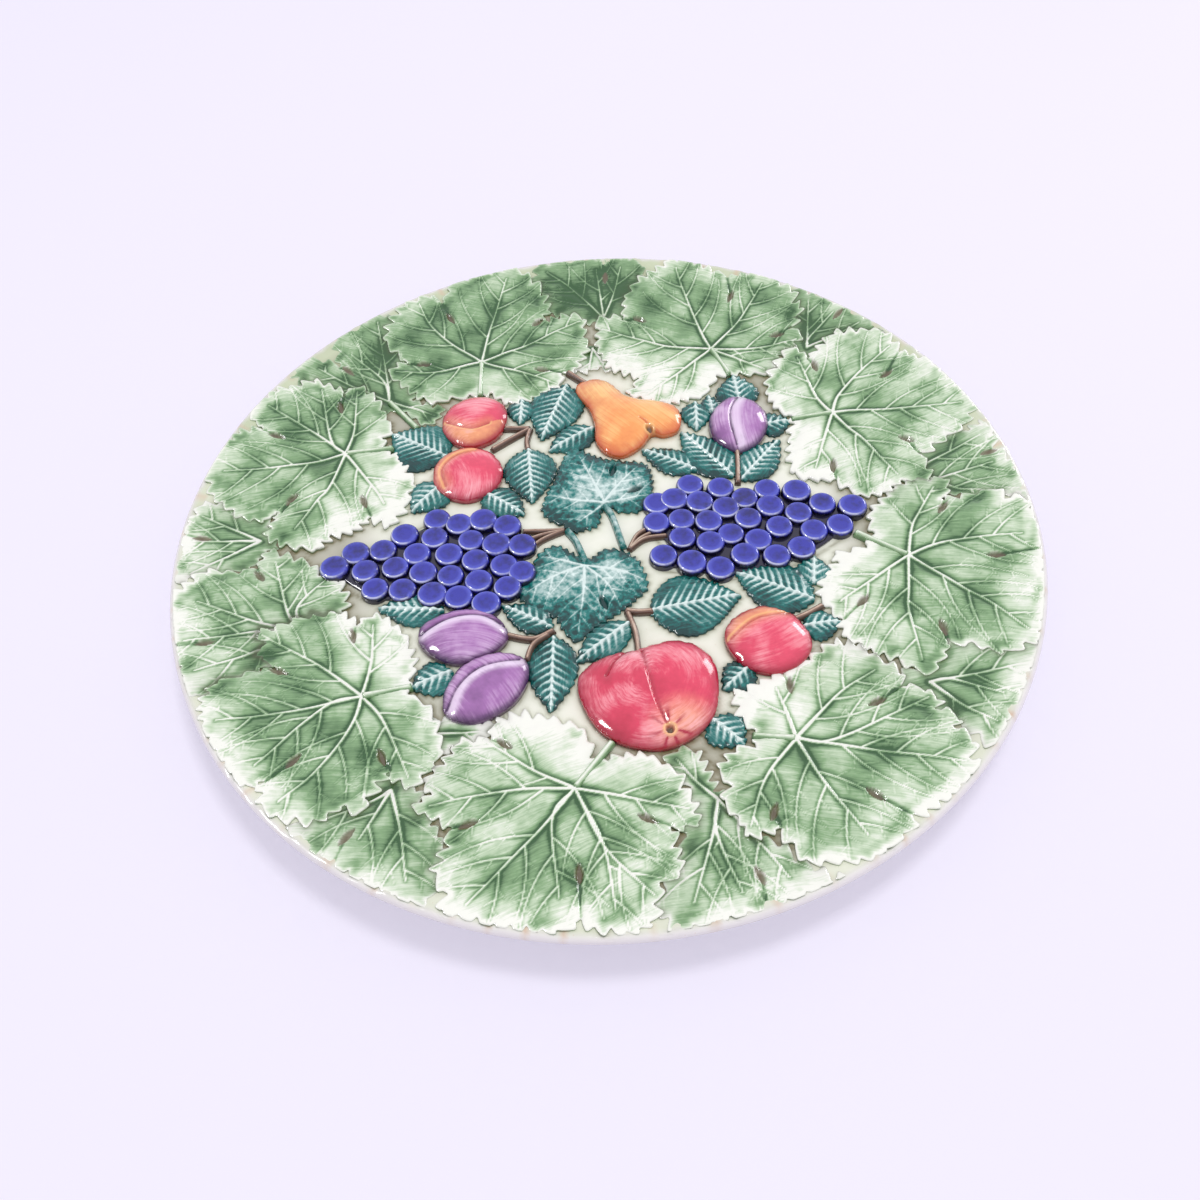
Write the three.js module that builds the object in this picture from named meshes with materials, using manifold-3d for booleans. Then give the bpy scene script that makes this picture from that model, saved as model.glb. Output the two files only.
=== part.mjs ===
// Majolica serving plate: a shallow round dish on a foot ring, covered with relief.
// A wreath of vine leaves lies on the curved rim, and fruit, grapes and leaves fill the flat well.
// Millimetres, +Z up. The origin is the centre of the foot ring's resting plane.
// +Y runs towards the pear, and +X towards the right bunch of grapes.
import * as THREE from "three";
import { TessellateModifier } from "three/addons/modifiers/TessellateModifier.js";
import { mergeVertices } from "three/addons/utils/BufferGeometryUtils.js";
import Module from "manifold-3d";

const wasm = await Module();
wasm.setup();

// Dish
const RIM_RADIUS = 165;
const WELL_RADIUS = 80;
const RIM_RISE = 11;
const FLOOR_THICKNESS = 7;
const LIP_THICKNESS = 4.5;
const LIP_ROUND = 2;
const DISH_SIDES = 48;
const CURVE_STEPS = 4;

// Foot ring
const FOOT_RADIUS = 96;
const FOOT_WIDTH = 9;
const FOOT_HEIGHT = 5;
const FOOT_TAPER = 1.5;

// Relief heights, measured from the surface of the dish
const CLEARANCE = 0.3;
const RIM_LEAF_THICKNESS = 2.3;
const BACK_LEAF_THICKNESS = 1.2;
const CENTRE_LEAF_THICKNESS = 2.2;
const FRUIT_LEAF_THICKNESS = 2;
const BRANCH_RADIUS = 1.1;
const LEAF_STALK_RADIUS = 1.4;
const VEIN_RADIUS = 0.8;
const VEIN_TIP_RADIUS = 0.35;
const RIM_FADE_WIDTH = 20;
const RIM_FADE = 0.45;

// Teeth round the leaves
const VINE_TOOTH_PITCH = 17;
const VINE_TOOTH_DEPTH = 1.5;
const FRUIT_TOOTH_PITCH = 6.5;
const FRUIT_TOOTH_DEPTH = 0.9;
const TOOTH_LEAN = 0.7;

// Fruit and grapes
const PEACH_HEIGHT = 7;
const PLUM_HEIGHT = 7.5;
const PEAR_HEIGHT = 7.5;
const APPLE_HEIGHT = 8.5;
const SEAM_RADIUS = 0.7;
const CALYX_RADIUS = 2.1;
const CALYX_HOLE_RADIUS = 1;
const CALYX_DEPTH = 2;
const BERRY_RADIUS = 5.2;
const BERRY_HEIGHT = 4.2;
const BERRY_SIDES = 7;
const BUNCH_BASE_THICKNESS = 1.2;
const FRUIT_SIDES = 20;
const STEM_SIDES = 6;
const VEIN_SIDES = 4;
const SEAM_SIDES = 4;
const CALYX_SIDES = 10;

// The relief ends this far inside the widest circle of the lip.
const RELIEF_MARGIN = 3.5;
const DRAPE_STEP = 32;

const COLOURS = {
  ivory: 0xe9e6da,
  rimGreen: 0x8fb283,
  backGreen: 0x5f8a57,
  leafGreen: 0x1f6b5c,
  grapeBlue: 0x2a30a0,
  plumPurple: 0x8a4f9c,
  peachRed: 0xd9566a,
  pearOrange: 0xf0904e,
  stemBrown: 0x8a6a58,
};

// Rim leaves from the front of the wreath to the back. hub is where the veins meet, stalk is the far end of
// the leaf stalk, veins are the ends of the main veins and edge is the outline, all seen from above.
const RIM_LEAVES = {
  rim_leaf_left_lower: {
    hub: [-88.5, -70],
    stalk: [-72, -66.5],
    veins: [[-137, -81], [-127, -43], [-87.5, -38], [-110, -113], [-69.5, -104]],
    edge: [
      [-72, -63.5], [-70.5, -57], [-73, -49], [-76, -42], [-84, -34], [-88.5, -33], [-94, -41],
      [-100, -31.5], [-112.5, -32.5], [-119, -36.5], [-129.5, -41], [-126, -54], [-119, -58],
      [-131, -60.5], [-138, -63.5], [-140, -72], [-136, -86], [-125, -101], [-119, -105.5], [-111, -99],
      [-113.5, -112], [-108, -117], [-96, -118.5], [-89, -114], [-84, -118], [-79, -106], [-78, -98],
      [-68.5, -108.5], [-61, -98], [-59, -92], [-62, -80], [-66.5, -73.5], [-80, -71],
    ],
  },
  rim_leaf_top_left: {
    hub: [-50, 103],
    stalk: [-50.5, 83],
    veins: [[-38.5, 153], [-79, 138], [-88, 98], [-5, 126], [-17, 88]],
    edge: [
      [-53, 92], [-55, 83], [-69, 80], [-76, 82], [-87, 92], [-92, 98], [-81, 103], [-93, 114], [-90, 125],
      [-85, 135], [-73, 141], [-66, 133], [-62, 148.5], [-50, 153], [-35, 157], [-25, 149.5], [-21, 143],
      [-18.5, 134], [-24, 127], [-10, 131], [-3, 128], [-3, 117], [-1.5, 110], [-8, 96], [-18, 95],
      [-15, 87], [-27, 80], [-38, 77], [-46, 84], [-48, 92],
    ],
  },
  rim_leaf_right_upper: {
    hub: [99.5, 57],
    stalk: [83, 56],
    veins: [[151, 51], [131, 89], [90, 92], [119, 19], [88, 28]],
    edge: [
      [86, 59], [77, 63], [74, 72], [76, 83], [83, 94], [89, 99], [96, 88], [102, 98], [106, 102],
      [120, 99], [127, 95.5], [133, 87], [128, 78], [142, 75.5], [149, 62], [153.5, 48], [147, 38],
      [132, 34], [131, 27], [131.5, 14.5], [120, 15.5], [112, 10.5], [103, 11], [95, 25], [84.5, 22],
      [78.5, 25.5], [78, 38], [80.5, 48], [86, 54],
    ],
  },
  rim_leaf_right_lower: {
    hub: [114.5, -22],
    stalk: [97, -7.5],
    veins: [[131, 10], [156, -20], [147, -63], [108.5, -70], [86, -40]],
    edge: [
      [107, -12], [103.5, -2], [105.5, 3], [116, 13], [125, 16], [136.5, 14], [133, 1], [139, 3.5],
      [151, 4], [160, -4], [160, -18], [157.5, -33], [155, -43.5], [151, -56], [145.5, -69], [134, -71],
      [126, -66], [119, -60], [117.5, -68], [110, -77], [100, -68], [92, -63], [84.5, -56.5], [84, -48],
      [78.5, -37], [81, -28], [88, -21], [87, -17.5], [100, -15],
    ],
  },
  rim_leaf_bottom: {
    hub: [-14.5, -110.5],
    stalk: [-1, -94],
    veins: [[-62, -115], [-48, -151], [-3, -155], [22, -121], [-45, -90]],
    edge: [
      [-10, -101], [-9, -92], [-12, -86], [-23, -82], [-33, -79.5], [-42, -82], [-43, -88.5], [-54, -90],
      [-59, -98], [-65, -106], [-68, -115.5], [-51, -123], [-56, -130], [-58, -138], [-54, -144],
      [-55, -150], [-39, -155.5], [-20, -158.5], [-14, -147], [-10, -158], [0, -160], [8, -157],
      [11, -146], [18, -143], [17.5, -134], [11, -126], [25.5, -126.5], [24, -118], [20, -106.5],
      [10.5, -99], [2, -98], [-5, -101],
    ],
  },
  rim_leaf_bottom_right: {
    hub: [60.5, -97],
    stalk: [46.5, -94.5],
    veins: [[57, -76], [92, -72], [113, -114], [76, -136], [41, -129]],
    edge: [
      [50, -92], [43, -87], [41.5, -77], [51, -73], [60, -69], [70, -64], [80, -57.5], [88, -59.5],
      [92, -64], [101, -74], [94, -83], [107, -82], [110, -87], [114, -95], [115, -103], [114, -114],
      [103, -123.5], [85, -124], [86, -135], [80, -140], [71, -142], [55, -141], [50, -127], [40, -133],
      [37, -125], [33, -119], [36, -113], [33, -106], [39, -99.5], [50, -99],
    ],
  },
  rim_leaf_top_right: {
    hub: [53, 102.5],
    stalk: [59.5, 87],
    veins: [[41.5, 153], [80, 137], [91, 102], [5, 120], [22, 77]],
    edge: [
      [55, 92], [54, 86], [47, 74.5], [33, 71.5], [24, 73.5], [14, 79], [19.5, 89], [7, 96], [2, 109.5],
      [3, 120], [2.5, 128], [20, 125], [16, 138], [22.5, 146.5], [35, 153], [38, 156], [46, 154.5],
      [58, 146.5], [65, 135], [73, 142], [82.5, 138], [92, 128], [94.5, 119], [86, 107], [94, 103.5],
      [83, 94], [77, 84.5], [64, 86.5], [60, 92],
    ],
  },
  rim_leaf_left_upper: {
    hub: [-106, 50],
    stalk: [-86, 53],
    veins: [[-154, 37.5], [-140, 75], [-104, 86], [-88, 22], [-122, 9]],
    edge: [
      [-92, 54.5], [-87.5, 64], [-90, 70.5], [-95, 82], [-103.5, 89.5], [-110, 79], [-117, 88.5],
      [-126, 86.5], [-136, 83], [-142, 75], [-145, 70], [-136, 59], [-148, 58.5], [-152.5, 51.5],
      [-157, 36.5], [-153, 24], [-143, 14], [-134, 13], [-127, 23], [-133, 5], [-125, 1], [-112.5, -1],
      [-108, 6], [-99, 8.5], [-96, 20], [-85, 10.5], [-79, 20], [-78, 28], [-76, 33], [-79.5, 40],
      [-90, 50],
    ],
  },
  rim_leaf_left_middle: {
    hub: [-113, -39],
    veins: [[-152, -28.5], [-127, -8], [-107, -15], [-154, -47]],
    edge: [
      [-98, -26], [-102, -16], [-109.5, -13], [-113.5, -8], [-120, -5], [-131, -1.5], [-133, -13],
      [-140, -13], [-150, -13], [-153, -18], [-159, -25], [-157.5, -33.5], [-153.5, -48.5], [-150, -57.5],
      [-147, -65.5], [-141, -70], [-125, -58], [-110, -46], [-100, -36],
    ],
  },
};

// The darker leaves that show between the rim leaves.
const BACK_LEAVES = {
  back_leaf_top_left: {
    hub: [-91, 82],
    stalk: [-77, 65],
    veins: [[-98, 126], [-122, 99], [-71, 73]],
    edge: [
      [-66, 78], [-69, 70], [-74, 67], [-83, 75], [-95, 76], [-110, 80], [-125, 86], [-131, 94],
      [-124, 102], [-111, 100], [-114, 113], [-105.5, 121.5], [-97, 128.5], [-88, 128], [-78, 115],
      [-76, 95], [-80, 82],
    ],
  },
  back_leaf_top: {
    hub: [4, 128],
    veins: [[-17, 157], [2, 152], [16, 157]],
    edge: [
      [-26, 148], [-24, 158], [-12, 161], [4, 161], [8, 151], [12, 161], [20, 159], [26, 154], [26, 140],
      [20, 128], [8, 124], [-5, 127], [-18, 132],
    ],
  },
  back_leaf_top_small: {
    hub: [0, 110],
    veins: [[-2, 97], [5, 98]],
    edge: [[-12, 98], [-7, 95], [-2, 96], [3, 98], [7, 94], [10, 99], [4, 106], [0, 113], [-6, 108]],
  },
  back_leaf_top_right: {
    hub: [95, 97],
    veins: [[99, 124], [108, 118], [118, 107]],
    edge: [
      [88, 126], [94, 131], [99, 127], [109, 118.5], [117, 111], [127, 98.5], [120, 92], [104, 90],
      [94, 88], [86, 98], [84, 115],
    ],
  },
  back_leaf_right: {
    hub: [127, 20],
    veins: [[155, 32], [158, 18], [152, 4]],
    edge: [
      [148, 36], [155.5, 41.5], [158, 31.5], [154, 23], [160, 18], [161, 6], [161, -3], [152, 0], [140, 5],
      [130, 8], [122, 18], [125, 30], [138, 38],
    ],
  },
  back_leaf_bottom_right: {
    hub: [109, -79],
    veins: [[141, -76.5], [128, -97.5], [130, -65]],
    edge: [
      [100, -74], [112, -70], [122, -60], [138, -63], [146.5, -67], [140, -79.5], [132.5, -91.5],
      [124, -102.5], [119, -107], [112, -96], [106, -88], [96, -79],
    ],
  },
  back_leaf_bottom: {
    hub: [31, -117],
    veins: [[21, -156], [37, -151], [53, -150], [20, -102]],
    edge: [
      [15, -102], [20, -97], [27, -98], [30, -106], [32, -114], [38, -118], [44, -132], [62, -146],
      [70, -145], [53.5, -152], [35.5, -157], [14, -160], [8, -152], [15, -142], [20, -130], [22, -112],
    ],
  },
  back_leaf_bottom_left: {
    hub: [-76, -106],
    veins: [[-67, -143], [-86, -131], [-97, -120]],
    edge: [
      [-76, -100], [-66, -108], [-58, -126], [-54, -134], [-58, -146], [-63.5, -148], [-79.5, -140],
      [-93.5, -131], [-105, -122], [-98, -112], [-88, -108],
    ],
  },
  back_leaf_bottom_small: {
    hub: [-62, -86],
    veins: [[-46, -86]],
    edge: [[-66, -80], [-55, -79], [-41, -83], [-43, -89], [-52, -91], [-60, -95], [-68, -92]],
  },
  back_leaf_left: {
    hub: [-134, 4],
    veins: [[-158, 13], [-157, -13], [-159, 1]],
    edge: [
      [-128, 2], [-134, 16], [-146, 22], [-156, 20], [-161, 10], [-161, -8], [-160, -20], [-148, -16],
      [-136, -10],
    ],
  },
};

// The two dark vine leaves in the middle of the well.
const CENTRE_LEAVES = {
  centre_leaf_upper: {
    hub: [1, 16],
    stalk: [7.5, -8],
    veins: [[-8.5, 42], [15.5, 34.5], [19, 19], [-22, 22], [-10, 6]],
    edge: [
      [0, 12], [-2, 5], [-7, 3], [-12, 2], [-20, 8], [-24, 14], [-22, 23], [-18.5, 31], [-13.5, 45],
      [-12, 50], [2, 41], [10, 39], [19, 36.5], [21, 28], [20, 18], [15, 11], [8, 11],
    ],
  },
  centre_leaf_lower: {
    hub: [-8, -16],
    stalk: [-14.5, 3],
    veins: [[-11.5, -48], [-30, -27], [-25, -10], [5, -36.5], [14, -24]],
    edge: [
      [-6, -13], [-1, -8], [6, -8.5], [12.5, -14], [15.5, -27.5], [5, -38], [-3, -43], [-12.5, -51],
      [-17, -45], [-19.5, -39], [-26, -36], [-33.5, -28], [-29.5, -20], [-28, -13], [-24, -6.5],
      [-18, -4.5], [-10, -11],
    ],
  },
};

// Toothed fruit leaves: where the midrib starts, where it ends and half the width.
const FRUIT_LEAVES = {
  peach_leaf_left: { from: [-63, 47], to: [-88, 62], half: 11 },
  peach_leaf_lower_left: { from: [-64, 33], to: [-77, 17.5], half: 7.5 },
  peach_leaf_lower_right: { from: [-48, 26], to: [-31, 12.5], half: 7 },
  peach_leaf_small: { from: [-32, 80], to: [-33, 64.5], half: 5.5 },
  pear_leaf_left: { from: [-12, 90], to: [-24, 54], half: 9.5 },
  pear_leaf_lower: { from: [-1, 60], to: [-21, 47], half: 6.5 },
  pear_leaf_right: { from: [43, 72], to: [42, 54], half: 5.5 },
  plum_top_leaf_small: { from: [50, 64], to: [49, 75.5], half: 4 },
  plum_top_leaf_upper: { from: [62, 66], to: [61, 86.5], half: 8 },
  plum_top_leaf_right: { from: [68, 54], to: [82, 56], half: 6 },
  plum_top_leaf_left: { from: [40, 31], to: [17.5, 45], half: 6 },
  peach_right_leaf_upper: { from: [77.5, -31], to: [80, -17], half: 6 },
  peach_right_leaf_outer: { from: [70, -50], to: [85, -49], half: 6 },
  peach_right_leaf_lower: { from: [50, -65], to: [38.5, -75], half: 5.5 },
  apple_leaf_right: { from: [33, -86], to: [43.5, -98], half: 6.5 },
  apple_leaf_left: { from: [8, -43], to: [-13, -60], half: 6 },
  plum_leaf_upper: { from: [-61, -33], to: [-87, -30], half: 6.5 },
  plum_leaf_lower: { from: [-57, -60], to: [-72, -67], half: 6.5 },
};

// Brown branches with the leaves that grow from them. Each stem is a line of points.
const BRANCHES = {
  peach_branch: {
    stems: [[[-39, 63], [-28, 61]], [[-46, 49], [-36, 56], [-28, 61]], [[-28, 61], [-30, 54], [-30, 48]]],
    leaves: { lower: { from: [-30, 51], to: [-28, 18], half: 10 } },
  },
  plum_branch: {
    stems: [[[-38, -47], [-28, -48.5], [-19, -45]], [[-30, -58], [-28, -51], [-23, -47]]],
    leaves: {
      lower: { from: [-20, -45], to: [-22, -81], half: 7.5 },
      upper: { from: [-21, -44], to: [-40, -32], half: 6 },
    },
  },
  apple_branch: {
    stems: [[[9, -60], [9.5, -48], [7, -39]], [[6, -38], [12, -39.5], [18, -39]]],
    leaves: { right: { from: [14, -39.5], to: [51, -35], half: 12 } },
  },
  plum_top_branch: {
    stems: [[[58, 40], [56.5, 30], [55, 22]]],
    leaves: {
      left: { from: [56, 25], to: [34, 55], half: 8.5 },
      right: { from: [56, 25], to: [77, 47], half: 7 },
    },
  },
  peach_right_branch: {
    stems: [[[66, -47.5], [73, -44.5], [80, -41]]],
    leaves: { upper: { from: [79, -41], to: [49, -22], half: 10 } },
  },
};

const GRAPE_STALKS = {
  grape_stalk_left: [[[-31, 4], [-22, 3], [-15, 3]], [[-32, -9], [-25, -2], [-15, 3]]],
  grape_stalk_right: [[[9, -9], [13, -2], [20, 2]], [[9, -9], [16, -4], [25, -3]]],
};

// Berry centres and the outline of the clay that joins them, for each bunch.
const BUNCHES = {
  grape_bunch_left: {
    berries: [
      [-66, 11.5], [-57, 8], [-47.5, 9.5], [-38, 6], [-78.5, 4.5], [-66.5, 2], [-52, -0.5], [-42, -3.5],
      [-32, -4.5], [-97, -4], [-86.5, -3], [-73, -6], [-60.5, -7], [-50, -11], [-39, -14], [-32, -18],
      [-104.5, -11], [-92.5, -13], [-81, -12], [-70, -15.5], [-59.5, -17.5], [-48.5, -21], [-37.5, -25],
      [-88, -22], [-77.5, -23], [-66, -26], [-56, -28], [-45.5, -32],
    ],
    base: [
      [-107, -10], [-98, -3], [-80, 5], [-66, 12], [-46, 10], [-34, 6], [-29, -6], [-30, -22], [-36, -30],
      [-45, -36], [-58, -33], [-78, -28], [-90, -26], [-104, -16],
    ],
  },
  grape_bunch_right: {
    berries: [
      [36, 22], [48, 19], [29, 14.5], [39, 12.5], [22, 13], [57, 13], [66.5, 17], [78, 15], [49, 8.5],
      [66.5, 8], [21, 3], [31, 3.5], [41.5, 2], [57, 2], [77, 3.5], [87, 7.5], [98.5, 5], [68.5, -3],
      [30.5, -5.5], [41, -9], [49.5, -5], [59.5, -9], [81.5, -6], [92, -4], [22.5, -14], [33, -18],
      [43.5, -21.5], [53.5, -16], [65.5, -17.5], [75.5, -14],
    ],
    base: [
      [20, 11], [34, 22], [50, 19], [66, 17], [80, 15], [98, 6], [100, 1], [92, -9], [78, -18], [66, -22],
      [44, -26], [32, -22], [20, -18], [22, -8], [18, 2],
    ],
  },
};

// Round fruit: outline seen from above, how high it stands, and its seam. seam lists points across the fruit.
const FRUITS = {
  peach_lower: {
    edge: [[-69, 36], [-65, 46], [-55, 50.5], [-45, 46.5], [-40, 37], [-43, 27], [-54, 21], [-65, 26]],
    height: PEACH_HEIGHT,
    seam: [[-63, 28], [-65, 37], [-59, 45], [-52, 47.5]],
    colour: COLOURS.peachRed,
  },
  peach_upper: {
    edge: [[-66.5, 66], [-62, 76], [-51, 81], [-41, 76.5], [-38.5, 67], [-43, 56], [-54, 51], [-63, 56.5]],
    height: PEACH_HEIGHT,
    seam: [[-63, 65], [-58, 61], [-52, 59.5], [-46, 62.5]],
    colour: COLOURS.peachRed,
  },
  peach_right: {
    edge: [[41.5, -55], [45, -46], [56, -41], [67, -45], [72.5, -57], [68, -66], [58, -70], [47, -66]],
    height: PEACH_HEIGHT,
    seam: [[44, -54], [52, -48.5], [58, -46.5], [64, -45]],
    colour: COLOURS.peachRed,
  },
  apple: {
    edge: [
      [-12.5, -71], [-9, -63], [0, -58.5], [9, -57], [16, -55], [24, -54], [32, -57], [37, -66], [36, -81],
      [31, -90], [22, -96], [12, -97.5], [0, -93.5], [-8, -85],
    ],
    height: APPLE_HEIGHT,
    seam: [[10, -58], [12.5, -68], [14, -78], [18, -92]],
    calyx: [18.5, -92],
    colour: COLOURS.peachRed,
  },
  pear: {
    edge: [
      [-8.5, 83], [-6, 87], [0, 88], [5, 87], [9, 82], [13, 76.5], [20, 73], [28, 71.5], [34, 68],
      [36, 61], [34, 54], [28, 51.5], [22, 53], [18, 46], [10, 41], [3, 43.5], [-1, 51], [-1, 60],
      [-3, 70], [-7, 78],
    ],
    height: PEAR_HEIGHT,
    stem: [[-2, 84], [-7, 90], [-12, 95]],
    calyx: [21, 56],
    colour: COLOURS.pearOrange,
  },
  plum_lower: {
    edge: [
      [-60, -73], [-54, -60], [-42, -54.5], [-32, -57], [-29.5, -65], [-35, -76], [-47, -83], [-57, -81],
    ],
    height: PLUM_HEIGHT,
    seam: [[-57, -77], [-54, -70], [-47, -63], [-33, -59]],
    colour: COLOURS.plumPurple,
  },
  plum_upper: {
    edge: [
      [-70.5, -45], [-66, -38], [-53, -34], [-42, -38], [-37, -47], [-43, -54.5], [-55, -58], [-66, -53],
    ],
    height: PLUM_HEIGHT,
    seam: [[-68, -44], [-58, -39.5], [-47, -39], [-39, -43]],
    colour: COLOURS.plumPurple,
  },
  plum_top: {
    edge: [[58, 39.5], [49, 46], [47.5, 57], [52, 67], [60, 71.5], [68, 67], [72.5, 57], [68, 45]],
    height: PLUM_HEIGHT,
    seam: [[60.5, 69], [57, 61], [56, 52], [57.5, 43]],
    colour: COLOURS.plumPurple,
  },
};

// Heights that follow from the sizes above
const WELL_TOP = FOOT_HEIGHT + FLOOR_THICKNESS;
const CROWN_RADIUS = RIM_RADIUS - LIP_ROUND;
const RELIEF_RADIUS = RIM_RADIUS - RELIEF_MARGIN;
const SIDE_ANGLE = (2 * Math.PI) / DISH_SIDES;

// The plan of the relief fills the plate: the outermost point of the drawing lies on the relief's outer
// circle. The plan sizes of teeth, veins, stems and berries grow with it.
const drawnEdges = Object.values({ ...RIM_LEAVES, ...BACK_LEAVES }).flatMap((leaf) => leaf.edge);
const LAYOUT_SCALE = RELIEF_RADIUS / Math.max(...drawnEdges.map(([x, y]) => Math.hypot(x, y)));
const BRANCH = BRANCH_RADIUS * LAYOUT_SCALE;
const LEAF_STALK = LEAF_STALK_RADIUS * LAYOUT_SCALE;
const VEIN = VEIN_RADIUS * LAYOUT_SCALE;
const VEIN_TIP = VEIN_TIP_RADIUS * LAYOUT_SCALE;
const VINE_PITCH = VINE_TOOTH_PITCH * LAYOUT_SCALE;
const VINE_DEPTH = VINE_TOOTH_DEPTH * LAYOUT_SCALE;
const FRUIT_PITCH = FRUIT_TOOTH_PITCH * LAYOUT_SCALE;
const FRUIT_DEPTH = FRUIT_TOOTH_DEPTH * LAYOUT_SCALE;
const SEAM = SEAM_RADIUS * LAYOUT_SCALE;
const CALYX = CALYX_RADIUS * LAYOUT_SCALE;
const CALYX_HOLE = CALYX_HOLE_RADIUS * LAYOUT_SCALE;
const BERRY = BERRY_RADIUS * LAYOUT_SCALE;

// Points on an arc that leaves a flat at (flatEnd, height) and climbs by rise to the radius rimEnd.
function risingArc(flatEnd, height, rimEnd, rise) {
  const run = rimEnd - flatEnd;
  const radius = (run * run + rise * rise) / (2 * rise);
  return Array.from({ length: CURVE_STEPS + 1 }, (_, i) => {
    const x = (run * i) / CURVE_STEPS;
    return new THREE.Vector2(flatEnd + x, height + radius - Math.sqrt(radius * radius - x * x));
  });
}

const dishTop = [new THREE.Vector2(0, WELL_TOP), ...risingArc(WELL_RADIUS, WELL_TOP, CROWN_RADIUS, RIM_RISE)];

// Height of the faceted upper face of the dish above the point (x, y).
function dishHeight(x, y) {
  const middle = (Math.floor(Math.atan2(y, x) / SIDE_ANGLE) + 0.5) * SIDE_ANGLE;
  const radius = (x * Math.cos(middle) + y * Math.sin(middle)) / Math.cos(SIDE_ANGLE / 2);
  const found = dishTop.findIndex((point) => point.x >= radius);
  const next = found < 0 ? dishTop.length - 1 : Math.max(1, found);
  const inner = dishTop[next - 1];
  const outer = dishTop[next];
  return inner.y + ((outer.y - inner.y) * (radius - inner.x)) / (outer.x - inner.x);
}

// A point of the drawn layout at the plate's own size.
function onPlate([x, y]) {
  return new THREE.Vector2(x, y).multiplyScalar(LAYOUT_SCALE);
}

function closedOutline(corners) {
  const points = corners.map(onPlate);
  return THREE.ShapeUtils.isClockWise(points) ? points.reverse() : points;
}

// Solids

function toSolid(geometry) {
  const bare = geometry.clone();
  bare.deleteAttribute("normal");
  bare.deleteAttribute("uv");
  const merged = mergeVertices(bare, 1e-4);
  const vertProperties = new Float32Array(merged.attributes.position.array);
  const triVerts = new Uint32Array(merged.index.array);
  return new wasm.Manifold(new wasm.Mesh({ numProp: 3, vertProperties, triVerts }));
}

function toGeometry(solid) {
  const mesh = solid.getMesh();
  return new THREE.BufferGeometry()
    .setAttribute("position", new THREE.BufferAttribute(new Float32Array(mesh.vertProperties), 3))
    .setIndex(new THREE.BufferAttribute(new Uint32Array(mesh.triVerts), 1));
}

function joined(solids) {
  return solids.reduce((whole, solid) => whole.add(solid));
}

function largestBody(solid) {
  return solid.decompose().reduce((best, body) => (body.volume() > best.volume() ? body : best));
}

function slab(outline, bottom, top) {
  const geometry = new THREE.ExtrudeGeometry(new THREE.Shape(outline), {
    depth: top - bottom,
    bevelEnabled: false,
  });
  return toSolid(geometry.translate(0, 0, bottom));
}

// A round bar along a line of points, lying on the dish.
function stem(points, radius) {
  const line = points.map(onPlate).map((p) => new THREE.Vector3(p.x, p.y, CLEARANCE + radius));
  const section = new THREE.Shape(circleOutline(new THREE.Vector2(), radius, STEM_SIDES));
  const extrudePath = new THREE.CatmullRomCurve3(line);
  return toSolid(new THREE.ExtrudeGeometry(section, { steps: 2 * (line.length - 1), extrudePath }));
}

// A vein: a thin cone half sunk in the top of a leaf, from its hub towards a lobe.
function vein(hub, tip, height, radius) {
  const along = tip.clone().sub(hub);
  const cone = new THREE.CylinderGeometry(VEIN_TIP, radius, along.length(), VEIN_SIDES);
  cone.rotateZ(along.angle() - Math.PI / 2);
  return toSolid(cone.translate((hub.x + tip.x) / 2, (hub.y + tip.y) / 2, height));
}

// Outlines

// Sets forward-leaning teeth along each stretch of a counter-clockwise outline.
function toothed(corners, pitch, depth) {
  return corners.flatMap((from, i) => {
    const along = corners[(i + 1) % corners.length].clone().sub(from);
    const outward = new THREE.Vector2(along.y, -along.x).normalize();
    const count = Math.round(along.length() / pitch);
    if (count === 0) return [from];
    return Array.from({ length: count }, (_, k) => [
      from.clone().addScaledVector(along, k / count),
      from.clone().addScaledVector(along, (k + TOOTH_LEAN) / count).addScaledVector(outward, depth),
    ]).flat();
  });
}

// The outline moved outwards by a small distance.
function grown(outline, distance) {
  return outline.map((point, i) => {
    const before = point.clone().sub(outline.at(i - 1)).normalize();
    const after = outline[(i + 1) % outline.length].clone().sub(point).normalize();
    const normal = new THREE.Vector2(before.y + after.y, -before.x - after.x).normalize();
    const spread = Math.max(0.4, normal.x * before.y - normal.y * before.x);
    return point.clone().addScaledVector(normal, distance / spread);
  });
}

// A pointed oval about a midrib, widest before the middle.
function fruitLeafOutline({ from, to, half }) {
  const start = onPlate(from);
  const along = onPlate(to).sub(start);
  const side = new THREE.Vector2(along.y, -along.x).normalize();
  const count = Math.max(4, Math.round(along.length() / FRUIT_PITCH));
  const rim = (sign) =>
    Array.from({ length: count - 1 }, (_, i) => {
      const share = (i + 1) / count;
      const width = half * LAYOUT_SCALE * Math.sin(Math.PI * share ** 0.85) ** 0.75;
      return start.clone().addScaledVector(along, share).addScaledVector(side, sign * width);
    });
  const tip = start.clone().add(along);
  return toothed([start, ...rim(1), tip, ...rim(-1).reverse()], FRUIT_PITCH, FRUIT_DEPTH);
}

function circleOutline(centre, radius, sides) {
  return Array.from({ length: sides }, (_, i) =>
    new THREE.Vector2(radius, 0).rotateAround({ x: 0, y: 0 }, (2 * Math.PI * i) / sides).add(centre),
  );
}

function ribbonOutline(points, radius) {
  const line = new THREE.SplineCurve(points.map(onPlate)).getPoints(2 * (points.length - 1));
  const side = (sign) =>
    line.map((point, i) => {
      const along = line[Math.min(i + 1, line.length - 1)].clone().sub(line[Math.max(i - 1, 0)]).normalize();
      return point.clone().add(new THREE.Vector2(along.y, -along.x).multiplyScalar(sign * radius));
    });
  return [...side(1), ...side(-1).reverse()];
}

// Relief pieces. Each has its flat solid, the outlines that it covers and its anchor on the plate.

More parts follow.
